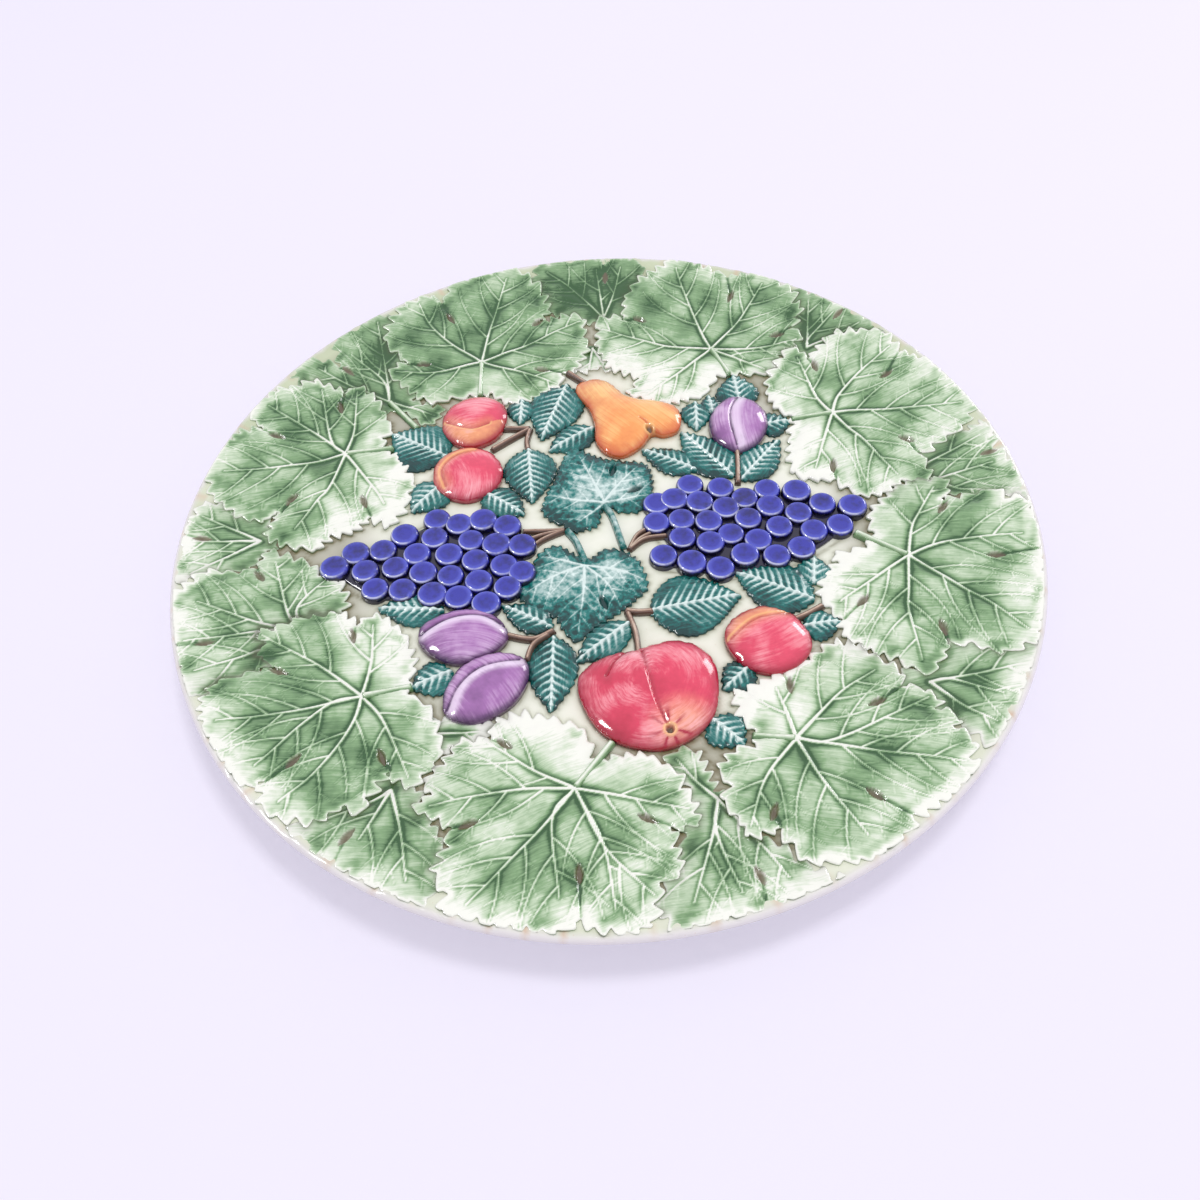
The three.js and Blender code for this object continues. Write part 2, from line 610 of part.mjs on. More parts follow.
function vineLeaf({ hub, stalk, veins, edge }, thickness) {
  const centre = onPlate(hub);
  const outline = toothed(closedOutline(edge), VINE_PITCH, VINE_DEPTH);
  const top = CLEARANCE + thickness;
  const ribs = veins.map((tip) => vein(centre, onPlate(tip), top, VEIN));
  const covers = [outline];
  if (stalk) {
    ribs.push(stem([stalk, hub], LEAF_STALK));
    covers.push(ribbonOutline([stalk, hub], LEAF_STALK));
  }
  return { solid: joined([slab(outline, CLEARANCE, top), ...ribs]), covers, anchor: centre };
}

function fruitLeaf(leaf) {
  const outline = fruitLeafOutline(leaf);
  const top = CLEARANCE + FRUIT_LEAF_THICKNESS;
  const start = onPlate(leaf.from);
  const tip = onPlate(leaf.to).lerp(start, 0.06);
  const solid = slab(outline, CLEARANCE, top).add(vein(start.clone().lerp(tip, 0.06), tip, top, VEIN));
  return { solid, covers: [outline], anchor: start };
}

function branch({ stems, leaves }) {
  const grownLeaves = Object.values(leaves).map(fruitLeaf);
  const bars = stems.map((points) => stem(points, BRANCH));
  return {
    solid: joined([...bars, ...grownLeaves.map((leaf) => leaf.solid)]),
    covers: [...stems.map((s) => ribbonOutline(s, BRANCH)), ...grownLeaves.flatMap((leaf) => leaf.covers)],
    anchor: onPlate(stems[0][0]),
  };
}

function grapeBunch({ berries, base }) {
  const bodyHeight = BERRY_HEIGHT - BUNCH_BASE_THICKNESS / 2;
  const button = [
    [0, bodyHeight],
    [0.68 * BERRY, bodyHeight],
    [BERRY, 0.5 * bodyHeight],
    [0.9 * BERRY, 0],
    [0, 0],
  ].map(([radius, height]) => new THREE.Vector2(radius, height));
  const centres = berries.map(onPlate);
  const outline = closedOutline(base);
  const balls = centres.map((centre) =>
    toSolid(new THREE.LatheGeometry(button.toReversed(), BERRY_SIDES).rotateX(Math.PI / 2)).translate([
      centre.x,
      centre.y,
      CLEARANCE + BUNCH_BASE_THICKNESS / 2,
    ]),
  );
  const clay = slab(outline, CLEARANCE, CLEARANCE + BUNCH_BASE_THICKNESS);
  return {
    solid: joined([clay, ...balls]),
    covers: [outline, ...centres.map((centre) => circleOutline(centre, BERRY, BERRY_SIDES))],
    anchor: centres[0],
  };
}

// Height of a fruit's domed top at a share of the way from its middle to its edge.
function domeHeight(share, height) {
  return height * Math.sqrt(1 - 0.9 * share * share);
}

// A dome on a smooth outline: a turned dome whose circles are drawn out to the outline.
function fruitDome(edge, height) {
  const outline = new THREE.CatmullRomCurve3(
    closedOutline(edge).map((p) => new THREE.Vector3(p.x, p.y, 0)),
    true,
  );
  const corners = outline.getSpacedPoints(FRUIT_SIDES).slice(1);
  const middle = corners.reduce((sum, p) => sum.add(p), new THREE.Vector3()).divideScalar(FRUIT_SIDES);
  const shares = [1, 0.82, 0.5, 0];
  const profile = [
    new THREE.Vector2(0, 0),
    new THREE.Vector2(1, 0),
    ...shares.map((share) => new THREE.Vector2(share, domeHeight(share, height))),
  ];
  const geometry = new THREE.LatheGeometry(profile, FRUIT_SIDES).rotateX(Math.PI / 2);
  const places = geometry.attributes.position;
  for (let i = 0; i < places.count; i++) {
    const share = Math.hypot(places.getX(i), places.getY(i));
    const turn = Math.atan2(places.getY(i), places.getX(i)) / (2 * Math.PI);
    const side = (Math.round(turn * FRUIT_SIDES) + FRUIT_SIDES) % FRUIT_SIDES;
    const rim = outline.getPointAt(side / FRUIT_SIDES);
    const spot = middle.clone().lerp(rim, share);
    places.setXYZ(i, spot.x, spot.y, places.getZ(i) + CLEARANCE);
  }
  return {
    solid: toSolid(geometry),
    outline: corners.map((p) => new THREE.Vector2(p.x, p.y)),
    middle: new THREE.Vector2(middle.x, middle.y),
  };
}

// The distance from the middle of an outline to its edge through a point, as a share of the whole.
function shareToEdge(point, middle, outline) {
  const ray = point.clone().sub(middle);
  const reach = outline.reduce((best, corner) => {
    const spoke = corner.clone().sub(middle);
    const aligned = ray.dot(spoke) / (ray.length() * spoke.length());
    return aligned > best.aligned ? { aligned, length: spoke.length() } : best;
  }, { aligned: -1, length: 1 });
  return Math.min(1, ray.length() / reach.length);
}

function fruit({ edge, height, seam, stem: stemLine, calyx }) {
  const { solid, outline, middle } = fruitDome(edge, height);
  const onTop = (point) => {
    const spot = onPlate(point);
    const rise = domeHeight(shareToEdge(spot, middle, outline), height);
    return new THREE.Vector3(spot.x, spot.y, CLEARANCE + rise);
  };
  const covers = [outline];
  let body = solid;
  if (seam) {
    const groove = new THREE.Shape(circleOutline(new THREE.Vector2(), SEAM, SEAM_SIDES));
    const extrudePath = new THREE.CatmullRomCurve3(seam.map(onTop));
    body = body.subtract(toSolid(new THREE.ExtrudeGeometry(groove, { steps: 5, extrudePath })));
  }
  if (calyx) {
    const spot = onTop(calyx);
    const upright = (radius, length) =>
      toSolid(new THREE.CylinderGeometry(radius, radius, length, CALYX_SIDES).rotateX(Math.PI / 2));
    const eye = upright(CALYX, CALYX_DEPTH).translate([spot.x, spot.y, spot.z - CALYX_DEPTH / 4]);
    const hole = upright(CALYX_HOLE, CALYX_DEPTH).translate([spot.x, spot.y, spot.z + CALYX_DEPTH / 4]);
    body = body.add(eye).subtract(hole);
  }
  if (stemLine) {
    body = body.add(stem(stemLine, BRANCH));
    covers.push(ribbonOutline(stemLine, BRANCH));
  }
  return { solid: body, covers, anchor: middle };
}

function grapeStalk(lines) {
  return {
    solid: joined(lines.map((points) => stem(points, BRANCH))),
    covers: lines.map((points) => ribbonOutline(points, BRANCH)),
    anchor: onPlate(lines[0][0]),
  };
}

// Assembly

const plate = new THREE.Group();

function addMesh(parent, name, geometry, color) {
  const material = new THREE.MeshStandardMaterial({ color, roughness: 0.15, metalness: 0 });
  const mesh = new THREE.Mesh(geometry, material);
  mesh.name = name;
  parent.add(mesh);
  return mesh;
}

function turned(profile) {
  return new THREE.LatheGeometry(profile, DISH_SIDES).rotateX(Math.PI / 2);
}

// The dish: its underside, the round lip and the upper face, turned about the plate's axis.
function dishGeometry() {
  const crown = WELL_TOP + RIM_RISE;
  const lipBottom = crown - LIP_THICKNESS;
  const underRise = lipBottom - FOOT_HEIGHT;
  const under = risingArc(FOOT_RADIUS + LIP_ROUND, FOOT_HEIGHT, CROWN_RADIUS - LIP_ROUND, underRise);
  const lip = [
    new THREE.Vector2(RIM_RADIUS - 0.3 * LIP_ROUND, lipBottom + 0.2 * LIP_THICKNESS),
    new THREE.Vector2(RIM_RADIUS, lipBottom + 0.5 * LIP_THICKNESS),
    new THREE.Vector2(RIM_RADIUS - 0.3 * LIP_ROUND, lipBottom + 0.85 * LIP_THICKNESS),
  ];
  return turned([new THREE.Vector2(0, FOOT_HEIGHT), ...under, ...lip, ...dishTop.toReversed()]);
}

function footGeometry() {
  const inner = FOOT_RADIUS - FOOT_WIDTH;
  return turned([
    new THREE.Vector2(inner, FOOT_HEIGHT),
    new THREE.Vector2(inner + FOOT_TAPER, 0),
    new THREE.Vector2(FOOT_RADIUS - FOOT_TAPER, 0),
    new THREE.Vector2(FOOT_RADIUS, FOOT_HEIGHT),
    new THREE.Vector2(inner, FOOT_HEIGHT),
  ]);
}

// Lays a flat solid on the dish, thinner towards the lip, with its origin at the anchor.
function drapedOnDish(solid, anchor) {
  const fine = new TessellateModifier(DRAPE_STEP, 8).modify(toGeometry(solid).toNonIndexed());
  const places = fine.attributes.position;
  for (let i = 0; i < places.count; i++) {
    const [x, y, height] = [places.getX(i), places.getY(i), places.getZ(i)];
    const outward = (Math.hypot(x, y) - RELIEF_RADIUS + RIM_FADE_WIDTH) / RIM_FADE_WIDTH;
    const fade = 1 - RIM_FADE * THREE.MathUtils.clamp(outward, 0, 1);
    places.setZ(i, dishHeight(x, y) + CLEARANCE + (height - CLEARANCE) * fade);
  }
  return mergeVertices(fine.translate(-anchor.x, -anchor.y, 0), 1e-4);
}

addMesh(plate, "dish_body", dishGeometry(), COLOURS.ivory);
addMesh(plate, "foot_ring", footGeometry(), COLOURS.ivory);

// From the top of the relief down: each piece is trimmed where the pieces above it lie.
const layers = [
  [FRUITS, fruit, null],
  [CENTRE_LEAVES, (leaf) => vineLeaf(leaf, CENTRE_LEAF_THICKNESS), COLOURS.leafGreen],
  [BUNCHES, grapeBunch, COLOURS.grapeBlue],
  [GRAPE_STALKS, grapeStalk, COLOURS.stemBrown],
  [BRANCHES, branch, COLOURS.leafGreen],
  [FRUIT_LEAVES, fruitLeaf, COLOURS.leafGreen],
  [RIM_LEAVES, (leaf) => vineLeaf(leaf, RIM_LEAF_THICKNESS), COLOURS.rimGreen],
  [BACK_LEAVES, (leaf) => vineLeaf(leaf, BACK_LEAF_THICKNESS), COLOURS.backGreen],
];
const COVER_TOP = 3 * APPLE_HEIGHT;
const reliefDisc = slab(circleOutline(new THREE.Vector2(), RELIEF_RADIUS, 2 * DISH_SIDES), 0, COVER_TOP);
let covered = null;
for (const [pieces, build, colour] of layers) {
  const layer = new THREE.Group();
  plate.add(layer);
  for (const [name, piece] of Object.entries(pieces)) {
    const { solid, covers, anchor } = build(piece);
    const inside = solid.intersect(reliefDisc);
    const trimmed = largestBody(covered ? inside.subtract(covered) : inside);
    const mesh = addMesh(layer, name, drapedOnDish(trimmed, anchor), colour ?? piece.colour);
    mesh.position.set(anchor.x, anchor.y, 0);
    const cutter = joined(covers.map((outline) => slab(grown(outline, CLEARANCE), 0, COVER_TOP)));
    covered = covered ? covered.add(cutter) : cutter;
  }
}

export default plate;
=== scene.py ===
"""A majolica serving plate: a turned dish with moulded vine leaves on the rim and fruit in the well.

Every sprig is drawn in plan, in millimetres, given its own relief and laid over the curved dish.
"""

import math

import bmesh
import bpy
import numpy as np
from bpy.props import FloatProperty, FloatVectorProperty, PointerProperty
from mathutils import Matrix, Vector, kdtree


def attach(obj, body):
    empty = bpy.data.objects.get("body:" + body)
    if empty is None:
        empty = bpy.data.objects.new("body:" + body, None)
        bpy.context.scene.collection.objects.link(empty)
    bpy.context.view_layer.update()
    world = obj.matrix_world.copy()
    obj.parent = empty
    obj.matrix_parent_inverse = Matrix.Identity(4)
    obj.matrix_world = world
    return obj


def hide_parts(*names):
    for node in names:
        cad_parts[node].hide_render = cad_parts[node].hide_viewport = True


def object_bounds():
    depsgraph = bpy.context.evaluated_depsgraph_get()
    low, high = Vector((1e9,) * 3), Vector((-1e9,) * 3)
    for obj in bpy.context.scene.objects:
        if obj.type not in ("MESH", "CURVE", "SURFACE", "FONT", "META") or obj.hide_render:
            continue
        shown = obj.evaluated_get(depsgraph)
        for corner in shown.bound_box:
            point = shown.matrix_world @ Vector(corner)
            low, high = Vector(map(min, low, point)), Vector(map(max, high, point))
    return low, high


bl_info = {
    "name": "Majolica Serving Plate",
    "version": (1, 0, 0),
    "blender": (4, 5, 0),
    "location": "View3D > Sidebar > Plate",
    "description": "Builds a round plate with vine leaves, fruit and grapes in relief",
    "category": "Add Mesh",
}

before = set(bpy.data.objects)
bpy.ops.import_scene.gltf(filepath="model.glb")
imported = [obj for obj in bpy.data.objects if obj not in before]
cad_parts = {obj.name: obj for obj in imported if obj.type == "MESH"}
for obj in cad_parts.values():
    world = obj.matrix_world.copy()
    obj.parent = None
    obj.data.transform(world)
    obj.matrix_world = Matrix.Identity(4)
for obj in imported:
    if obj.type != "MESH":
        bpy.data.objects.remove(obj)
CAD_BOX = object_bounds()
MM = 0.001

# Plan of the rim leaves in millimetres. hub is where the veins meet, stalk the far end of the leaf stalk.
# veins run outward from the hub, slits are the eye-shaped gaps between lobes. white is how pale the side
# towards the middle of the plate is, deep how strong the green is.
RIM_LEAVES = {
    "rim_leaf_top_left": {
        "hub": (-50, 103), "stalk": (-50.5, 82), "white": 0.45, "deep": 0.74,
        "edge": [
            (-55, 83), (-63, 82), (-69, 80), (-76, 82), (-87, 92), (-92, 98), (-84, 104), (-93, 114),
            (-90, 125), (-85, 135), (-73, 141), (-67, 137), (-62, 148.5), (-50, 153), (-35, 157),
            (-25, 149.5), (-21, 143), (-18.5, 134), (-24, 127), (-10, 131), (-3, 128), (-3, 117),
            (-1.5, 110), (-8, 96), (-14, 94), (-15, 87), (-27, 80), (-38, 77), (-46, 84),
        ],
        "veins": [
            [(-47, 119), (-43, 135), (-38.5, 153)], [(-66, 116), (-74, 126), (-79, 138)],
            [(-72, 97), (-88, 98)], [(-40, 108), (-31, 111.5), (-14, 121), (-5, 126)],
            [(-30, 95), (-17, 88)],
        ],
        "slits": [(-64.5, 129.5), (-76, 102), (-23, 97), (-24.5, 126.5)],
    },
    "rim_leaf_top_right": {
        "hub": (53, 102.5), "stalk": (59.5, 86), "white": 0.95, "deep": 0.66,
        "edge": [
            (54, 86), (47, 74.5), (41, 73.5), (33, 71.5), (24, 73.5), (14, 79), (19.5, 89), (7, 96),
            (2, 109.5), (3, 120), (2.5, 128), (15, 127), (16, 138), (22.5, 146.5), (35, 153), (38, 156),
            (46, 154.5), (58, 146.5), (64, 142), (73, 142), (83, 138), (92, 128), (92, 121.5),
            (94.5, 119), (91, 109), (94, 103.5), (83, 94), (77, 84.5), (64, 86.5),
        ],
        "veins": [
            [(49.5, 113), (44, 138), (41.5, 153)], [(67, 117), (80, 137)], [(70, 99.5), (91, 102)],
            [(33, 106.5), (5, 120)], [(38, 90), (22, 77)], [(62, 96), (75, 87)],
        ],
        "slits": [(22.5, 124), (65, 132), (83, 106)],
    },
    "rim_leaf_right_upper": {
        "hub": (99.5, 57), "stalk": (82, 56), "white": 0.95, "deep": 0.48,
        "edge": [
            (82, 58.5), (77, 63), (74, 72), (76, 83), (83, 94), (89, 99), (95, 91), (102, 98), (106, 102),
            (120, 99), (127, 95.5), (131, 84), (137, 78.5), (143, 74), (149, 60), (153.5, 48), (147, 38),
            (136, 31.5), (131, 27), (131.5, 14.5), (120, 15.5), (112, 10.5), (103, 11), (94, 20.5),
            (84.5, 22), (78.5, 25.5), (78, 38), (80.5, 48), (82, 54),
        ],
        "veins": [
            [(111, 56.5), (124, 54), (151, 51)], [(103.5, 66), (113.5, 76.5), (129, 89)],
            [(97, 61), (93.5, 70.5), (90, 92)], [(104.5, 48), (110, 39), (119, 19)], [(95, 46), (88, 28)],
        ],
        "slits": [(96.5, 85), (125, 74), (126, 37), (95, 28)],
    },
    "rim_leaf_right_lower": {
        "hub": (114.5, -22), "stalk": (97, -7.5), "white": 1.0, "deep": 0.56,
        "edge": [
            (104, -8.5), (103.5, -2), (105.5, 3), (116, 13), (125, 16), (136.5, 14), (137, 9), (133, 3),
            (139, 3.5), (151, 4), (153, -1.5), (160, -4), (160, -18), (157.5, -33), (155, -43.5),
            (151, -56), (145, -68.5), (140.5, -68), (134, -71), (126, -66), (119, -64), (117.5, -68),
            (110, -77), (100, -68), (92, -63), (84.5, -56.5), (84, -48), (78.5, -37), (81, -28),
            (88, -21), (87, -17.5), (100, -15),
        ],
        "veins": [
            [(118.5, -9), (123, -1.5), (131, 10)], [(124, -19), (134, -18), (156, -20)],
            [(123, -32), (130, -41), (137, -49), (146, -63)], [(111, -38.5), (109, -48), (108.5, -70)],
            [(100, -31), (86, -40)],
        ],
        "slits": [(132, -1), (145, -28), (94, -41), (119, -57)],
    },
    "rim_leaf_bottom_right": {
        "hub": (60.5, -97), "stalk": (46, -94.5), "white": 0.95, "deep": 0.51,
        "edge": [
            (47, -92), (43, -87), (41.5, -77), (51, -73), (60, -69), (70, -64), (80, -57.5), (88, -59.5),
            (92, -64), (101, -74), (100, -80), (107, -82), (110, -87), (109, -91), (114, -95), (111, -98),
            (115, -103), (112, -110), (114, -114), (103, -123), (90, -129), (86, -135), (80, -140),
            (71, -142), (55, -141), (49, -131), (40, -133), (37, -125), (33, -119), (36, -113),
            (33, -106), (39, -99.5), (46.5, -98),
        ],
        "veins": [
            [(59, -87), (57, -76)], [(78, -80.5), (92, -72)], [(84, -104.5), (103, -110), (112, -113)],
            [(66.5, -115), (72, -127), (76, -136)], [(48, -112), (41, -129)], [(73, -99), (107, -86)],
        ],
        "slits": [(62, -75), (90, -85.5), (81.5, -121.5), (49, -124.5)],
    },
    "rim_leaf_bottom": {
        "hub": (-14.5, -110.5), "stalk": (-1, -93), "white": 1.0, "deep": 0.5,
        "edge": [
            (-8, -99), (-9, -92), (-12, -86), (-23, -82), (-33, -79.5), (-42, -82), (-43, -88.5),
            (-54, -90), (-59, -98), (-65, -106), (-62, -110), (-68, -115.5), (-55, -123), (-56, -130),
            (-58, -138), (-54, -144), (-55, -150), (-39, -155.5), (-20, -158.5), (-14, -155), (-10, -158),
            (0, -160), (8, -157), (11, -146), (18, -143), (17.5, -134), (16, -128), (25.5, -126.5),
            (24, -118), (20, -106.5), (10.5, -99), (2, -98), (-3, -99.5),
        ],
        "veins": [
            [(-37, -110.5), (-62, -115)], [(-23, -122), (-31.5, -132), (-48, -151)],
            [(-6, -132), (-3, -155)], [(5, -116), (22, -121)], [(-28, -103), (-45, -90)],
            [(-22, -122), (-20, -150)], [(-5, -134), (9, -151)],
        ],
        "slits": [(-38, -92), (-49, -122.5), (-13.8, -142), (8.5, -123.5)],
    },
    "rim_leaf_left_lower": {
        "hub": (-88.5, -70), "stalk": (-71, -66.5), "white": 0.9, "deep": 0.67,
        "edge": [
            (-72, -63.5), (-70.5, -57), (-73, -49), (-76, -42), (-84, -34), (-88.5, -33), (-93, -37),
            (-100, -31.5), (-112.5, -32.5), (-119, -36.5), (-129.5, -41), (-128, -47), (-126, -54),
            (-120, -57), (-131, -60.5), (-138, -63.5), (-140, -72), (-138, -80), (-135, -87),
            (-125, -101), (-119, -105.5), (-115, -103), (-113.5, -112), (-108, -117), (-96, -118.5),
            (-89, -114), (-84, -118), (-79, -106), (-77, -102), (-68.5, -108.5), (-61, -98), (-59, -92),
            (-62, -80), (-66.5, -73.5), (-72, -69.5),
        ],
        "veins": [
            [(-112.5, -77), (-136, -81)], [(-103, -58), (-112.5, -52), (-127, -43)],
            [(-86.5, -55), (-87.5, -38)], [(-90.5, -82), (-99, -100), (-110, -113)],
            [(-80, -81), (-69.5, -104)], [(-101, -75), (-120, -99)],
        ],
        "slits": [(-94.5, -43), (-119, -59), (-108, -97), (-79.3, -95.5)],
    },
    "rim_leaf_left_upper": {
        "hub": (-106, 50), "stalk": (-86, 53), "white": 0.95, "deep": 0.6,
        "edge": [
            (-90, 54.5), (-91, 59), (-87.5, 64), (-90, 70.5), (-95, 82), (-103.5, 89.5), (-109, 85.5),
            (-117, 88.5), (-121.5, 90), (-126, 86.5), (-136, 83), (-142, 75), (-145, 70), (-142, 64.5),
            (-139, 62), (-148, 58.5), (-152.5, 51.5), (-157, 36.5), (-153, 24), (-143, 14), (-134, 13),
            (-130, 18.5), (-133, 5), (-125, 1), (-112.5, -1), (-108, 6), (-99, 8.5), (-94, 15),
            (-85, 10.5), (-79, 20), (-78, 28), (-76, 33), (-79.5, 40), (-83, 48),
        ],
        "veins": [
            [(-118, 45), (-131, 41.5), (-153, 37.5)], [(-120, 61), (-130, 68), (-140, 75)],
            [(-103.5, 64), (-104, 86)], [(-93, 31), (-88, 22)], [(-111, 31), (-115, 24), (-122, 9)],
            [(-112.5, 57), (-119, 86)],
        ],
        "slits": [(-110.3, 76), (-135, 58.5), (-125, 25), (-96.5, 24)],
    },
    "rim_leaf_left_middle": {
        "hub": (-113, -39), "white": 0.5, "deep": 0.53,
        "edge": [
            (-98, -26), (-102, -16), (-109.5, -13), (-113.5, -8), (-120, -5), (-131, -1.5), (-134, -10),
            (-140, -13), (-150, -13), (-153, -18), (-159, -25), (-157.5, -33.5), (-156, -41),
            (-153.5, -48.5), (-150, -57.5), (-147, -65.5), (-141, -70), (-125, -58), (-110, -46),
            (-100, -36),
        ],
        "veins": [
            [(-127, -38), (-152, -28.5)], [(-119, -33), (-127, -8)], [(-116, -30), (-107, -15)],
            [(-130, -42), (-153, -47)], [(-130, -52), (-147, -60)],
        ],
        "slits": [(-132, -15), (-146, -47.5)],
    },
}

# The wreath overlaps in this order, the foremost leaf first. All the darker leaves lie behind it.
FRONT_TO_BACK = (
    "rim_leaf_left_lower", "rim_leaf_top_left", "rim_leaf_right_upper", "rim_leaf_right_lower",
    "rim_leaf_bottom", "rim_leaf_bottom_right", "rim_leaf_top_right", "rim_leaf_left_upper",
    "rim_leaf_left_middle",
)

# The darker leaves that show between the rim leaves. They run on under the leaves in front.
BACK_LEAVES = {
    "back_leaf_top_left": {
        "hub": (-90, 81), "stalk": (-77, 65), "white": 0.2, "deep": 0.86,
        "edge": [
            (-66, 78), (-69, 70), (-74, 67), (-83, 75), (-95, 76), (-110, 80), (-125, 86), (-131, 94),
            (-124, 102), (-111, 100), (-114, 113), (-105.5, 121.5), (-97, 128.5), (-88, 128), (-78, 115),
            (-76, 95), (-80, 82),
        ],
        "veins": [
            [(-91, 90), (-97.5, 127)], [(-93.5, 93), (-108, 107)], [(-108, 90), (-121.5, 98)],
            [(-70, 73)],
        ],
        "slits": [(-109, 98)],
    },
    "back_leaf_top": {
        "hub": (6, 128), "white": 0.0, "deep": 1.0,
        "edge": [
            (-26, 148), (-24, 158), (-12, 160.5), (4, 161), (8, 157), (12, 160.5), (20, 159), (26, 154),
            (26, 140), (20, 128), (8, 124), (-5, 127), (-18, 132),
        ],
        "veins": [[(-8, 146), (-19.5, 157)], [(4, 157)], [(11, 140), (15.5, 157)]],
        "slits": [(8, 151.5)],
    },
    "back_leaf_top_small": {
        "hub": (0, 110), "white": 0.6, "deep": 0.7,
        "edge": [
            (-12, 98), (-7, 95), (-2, 96), (3, 98), (7, 94), (10, 99), (4, 106), (0, 113), (-6, 108),
        ],
        "veins": [[(-2, 97)], [(5, 98)]],
        "slits": [],
    },
    "back_leaf_top_right": {
        "hub": (95, 97), "white": 0.2, "deep": 0.84,
        "edge": [
            (88, 126), (94, 130), (99, 126), (109, 118.5), (117, 110), (126, 98), (120, 92), (104, 90),
            (94, 88), (86, 98), (84, 115),
        ],
        "veins": [[(99.5, 124)], [(96.5, 102), (109, 114.5)], [(110, 102), (119, 106)]],
        "slits": [(111, 113)],
    },
    "back_leaf_right": {
        "hub": (127, 20), "white": 0.2, "deep": 0.62,
        "edge": [
            (148, 36), (155, 41), (157, 31.5), (155, 24), (159, 18), (160.5, 6), (160.5, -3), (152, 0),
            (140, 5), (130, 8), (122, 18), (125, 30), (138, 38),
        ],
        "veins": [[(131, 23), (154, 32.5)], [(132, 14.5), (155.5, 18)], [(138.5, 9), (149, 4.5)]],
        "slits": [(155, 23)],
    },
    "back_leaf_bottom_right": {
        "hub": (109, -79.5), "white": 0.3, "deep": 0.66,
        "edge": [
            (100, -74), (112, -70), (122, -60), (138, -63), (146, -66.5), (140, -79), (132.5, -91),
            (124, -102), (119, -107), (112, -96), (106, -88), (96, -79),
        ],
        "veins": [[(138.5, -77.5)], [(117.5, -91), (126, -99)], [(116.5, -79.5), (131, -88)]],
        "slits": [],
    },
    "back_leaf_bottom": {
        "hub": (32, -117.5), "white": 0.5, "deep": 0.58,
        "edge": [
            (15, -102), (20, -97), (27, -98), (30, -106), (32, -114), (38, -118), (44, -132), (62, -146),
            (67, -146), (53.5, -151.5), (35.5, -156.5), (14, -160), (8, -152), (15, -142), (20, -130),
            (22, -112),
        ],
        "veins": [
            [(29, -130), (20.5, -154)], [(30, -130), (35.5, -152)], [(42, -133), (50, -148)],
            [(24, -108), (20, -101)],
        ],
        "slits": [(41.3, -146.5)],
    },
    "back_leaf_bottom_left": {
        "hub": (-75, -108), "white": 0.4, "deep": 0.66,
        "edge": [
            (-76, -100), (-66, -108), (-58, -126), (-54, -134), (-58, -146), (-63.5, -147.5),
            (-79.5, -139.5), (-93.5, -130.5), (-104, -121.5), (-98, -112), (-88, -108),
        ],
        "veins": [[(-70.5, -124), (-67, -142)], [(-83, -127)], [(-80, -112), (-96, -120)]],
        "slits": [(-87, -126)],
    },
    "back_leaf_bottom_small": {
        "hub": (-62, -86), "white": 0.8, "deep": 0.5,
        "edge": [(-66, -80), (-55, -79), (-41, -83), (-43, -89), (-52, -91), (-60, -95), (-68, -92)],
        "veins": [[(-46, -86)]],
        "slits": [],
    },
    "back_leaf_left": {
        "hub": (-134.5, 3), "white": 0.2, "deep": 0.6,
        "edge": [
            (-128, 2), (-134, 16), (-146, 22), (-156, 20), (-160.5, 10), (-160.5, -8), (-159.5, -20),
            (-148, -16), (-136, -10),
        ],
        "veins": [[(-158, 14)], [(-157, -15)], [(-159, 1)]],
        "slits": [(-156, 2.5)],
    },
}

# The two dark vine leaves in the middle of the well.
CENTRE_LEAVES = {
    "centre_leaf_upper": {
        "hub": (1, 16), "stalk": [(1, 15), (4, 8), (7.5, -8)],
        "edge": [
            (0, 13), (-2, 5), (-7, 3), (-12, 2), (-16, 6), (-20, 8), (-24, 14), (-22, 23), (-18.5, 31),
            (-17, 37), (-13.5, 45), (-12, 50), (-5, 45), (2, 41), (10, 39), (19, 36.5), (21, 28),
            (20, 18), (15, 11), (8, 11), (4, 13),
        ],
        "veins": [
            [(-3, 28), (-8.5, 43)], [(8, 26), (16, 35)], [(10, 17), (19, 19)], [(-11, 18), (-22, 22)],
            [(-5, 10), (-10, 6)],
        ],
        "slits": [(5.4, 33.5), (13.8, 22)],
    },
    "centre_leaf_lower": {
        "hub": (-8, -16), "stalk": [(-7.5, -14), (-11, -3), (-14.5, 3)],
        "edge": [
            (-5, -12), (-1, -8), (6, -8.5), (12.5, -14), (14.5, -20), (15.5, -27.5), (11, -32.5),
            (5, -38), (-3, -43), (-9, -48.5), (-12.5, -51), (-17, -45), (-19.5, -39), (-26, -36),
            (-33.5, -28), (-29.5, -20), (-28, -13), (-24, -6.5), (-18, -4.5), (-11, -10),
        ],
        "veins": [
            [(-9, -30), (-11.5, -48)], [(-19, -20), (-30, -27)], [(-16, -13), (-25, -10)],
            [(0, -25), (5, -36.5)], [(4, -19), (14, -24)],
        ],
        "slits": [(-1.5, -34)],
    },
}

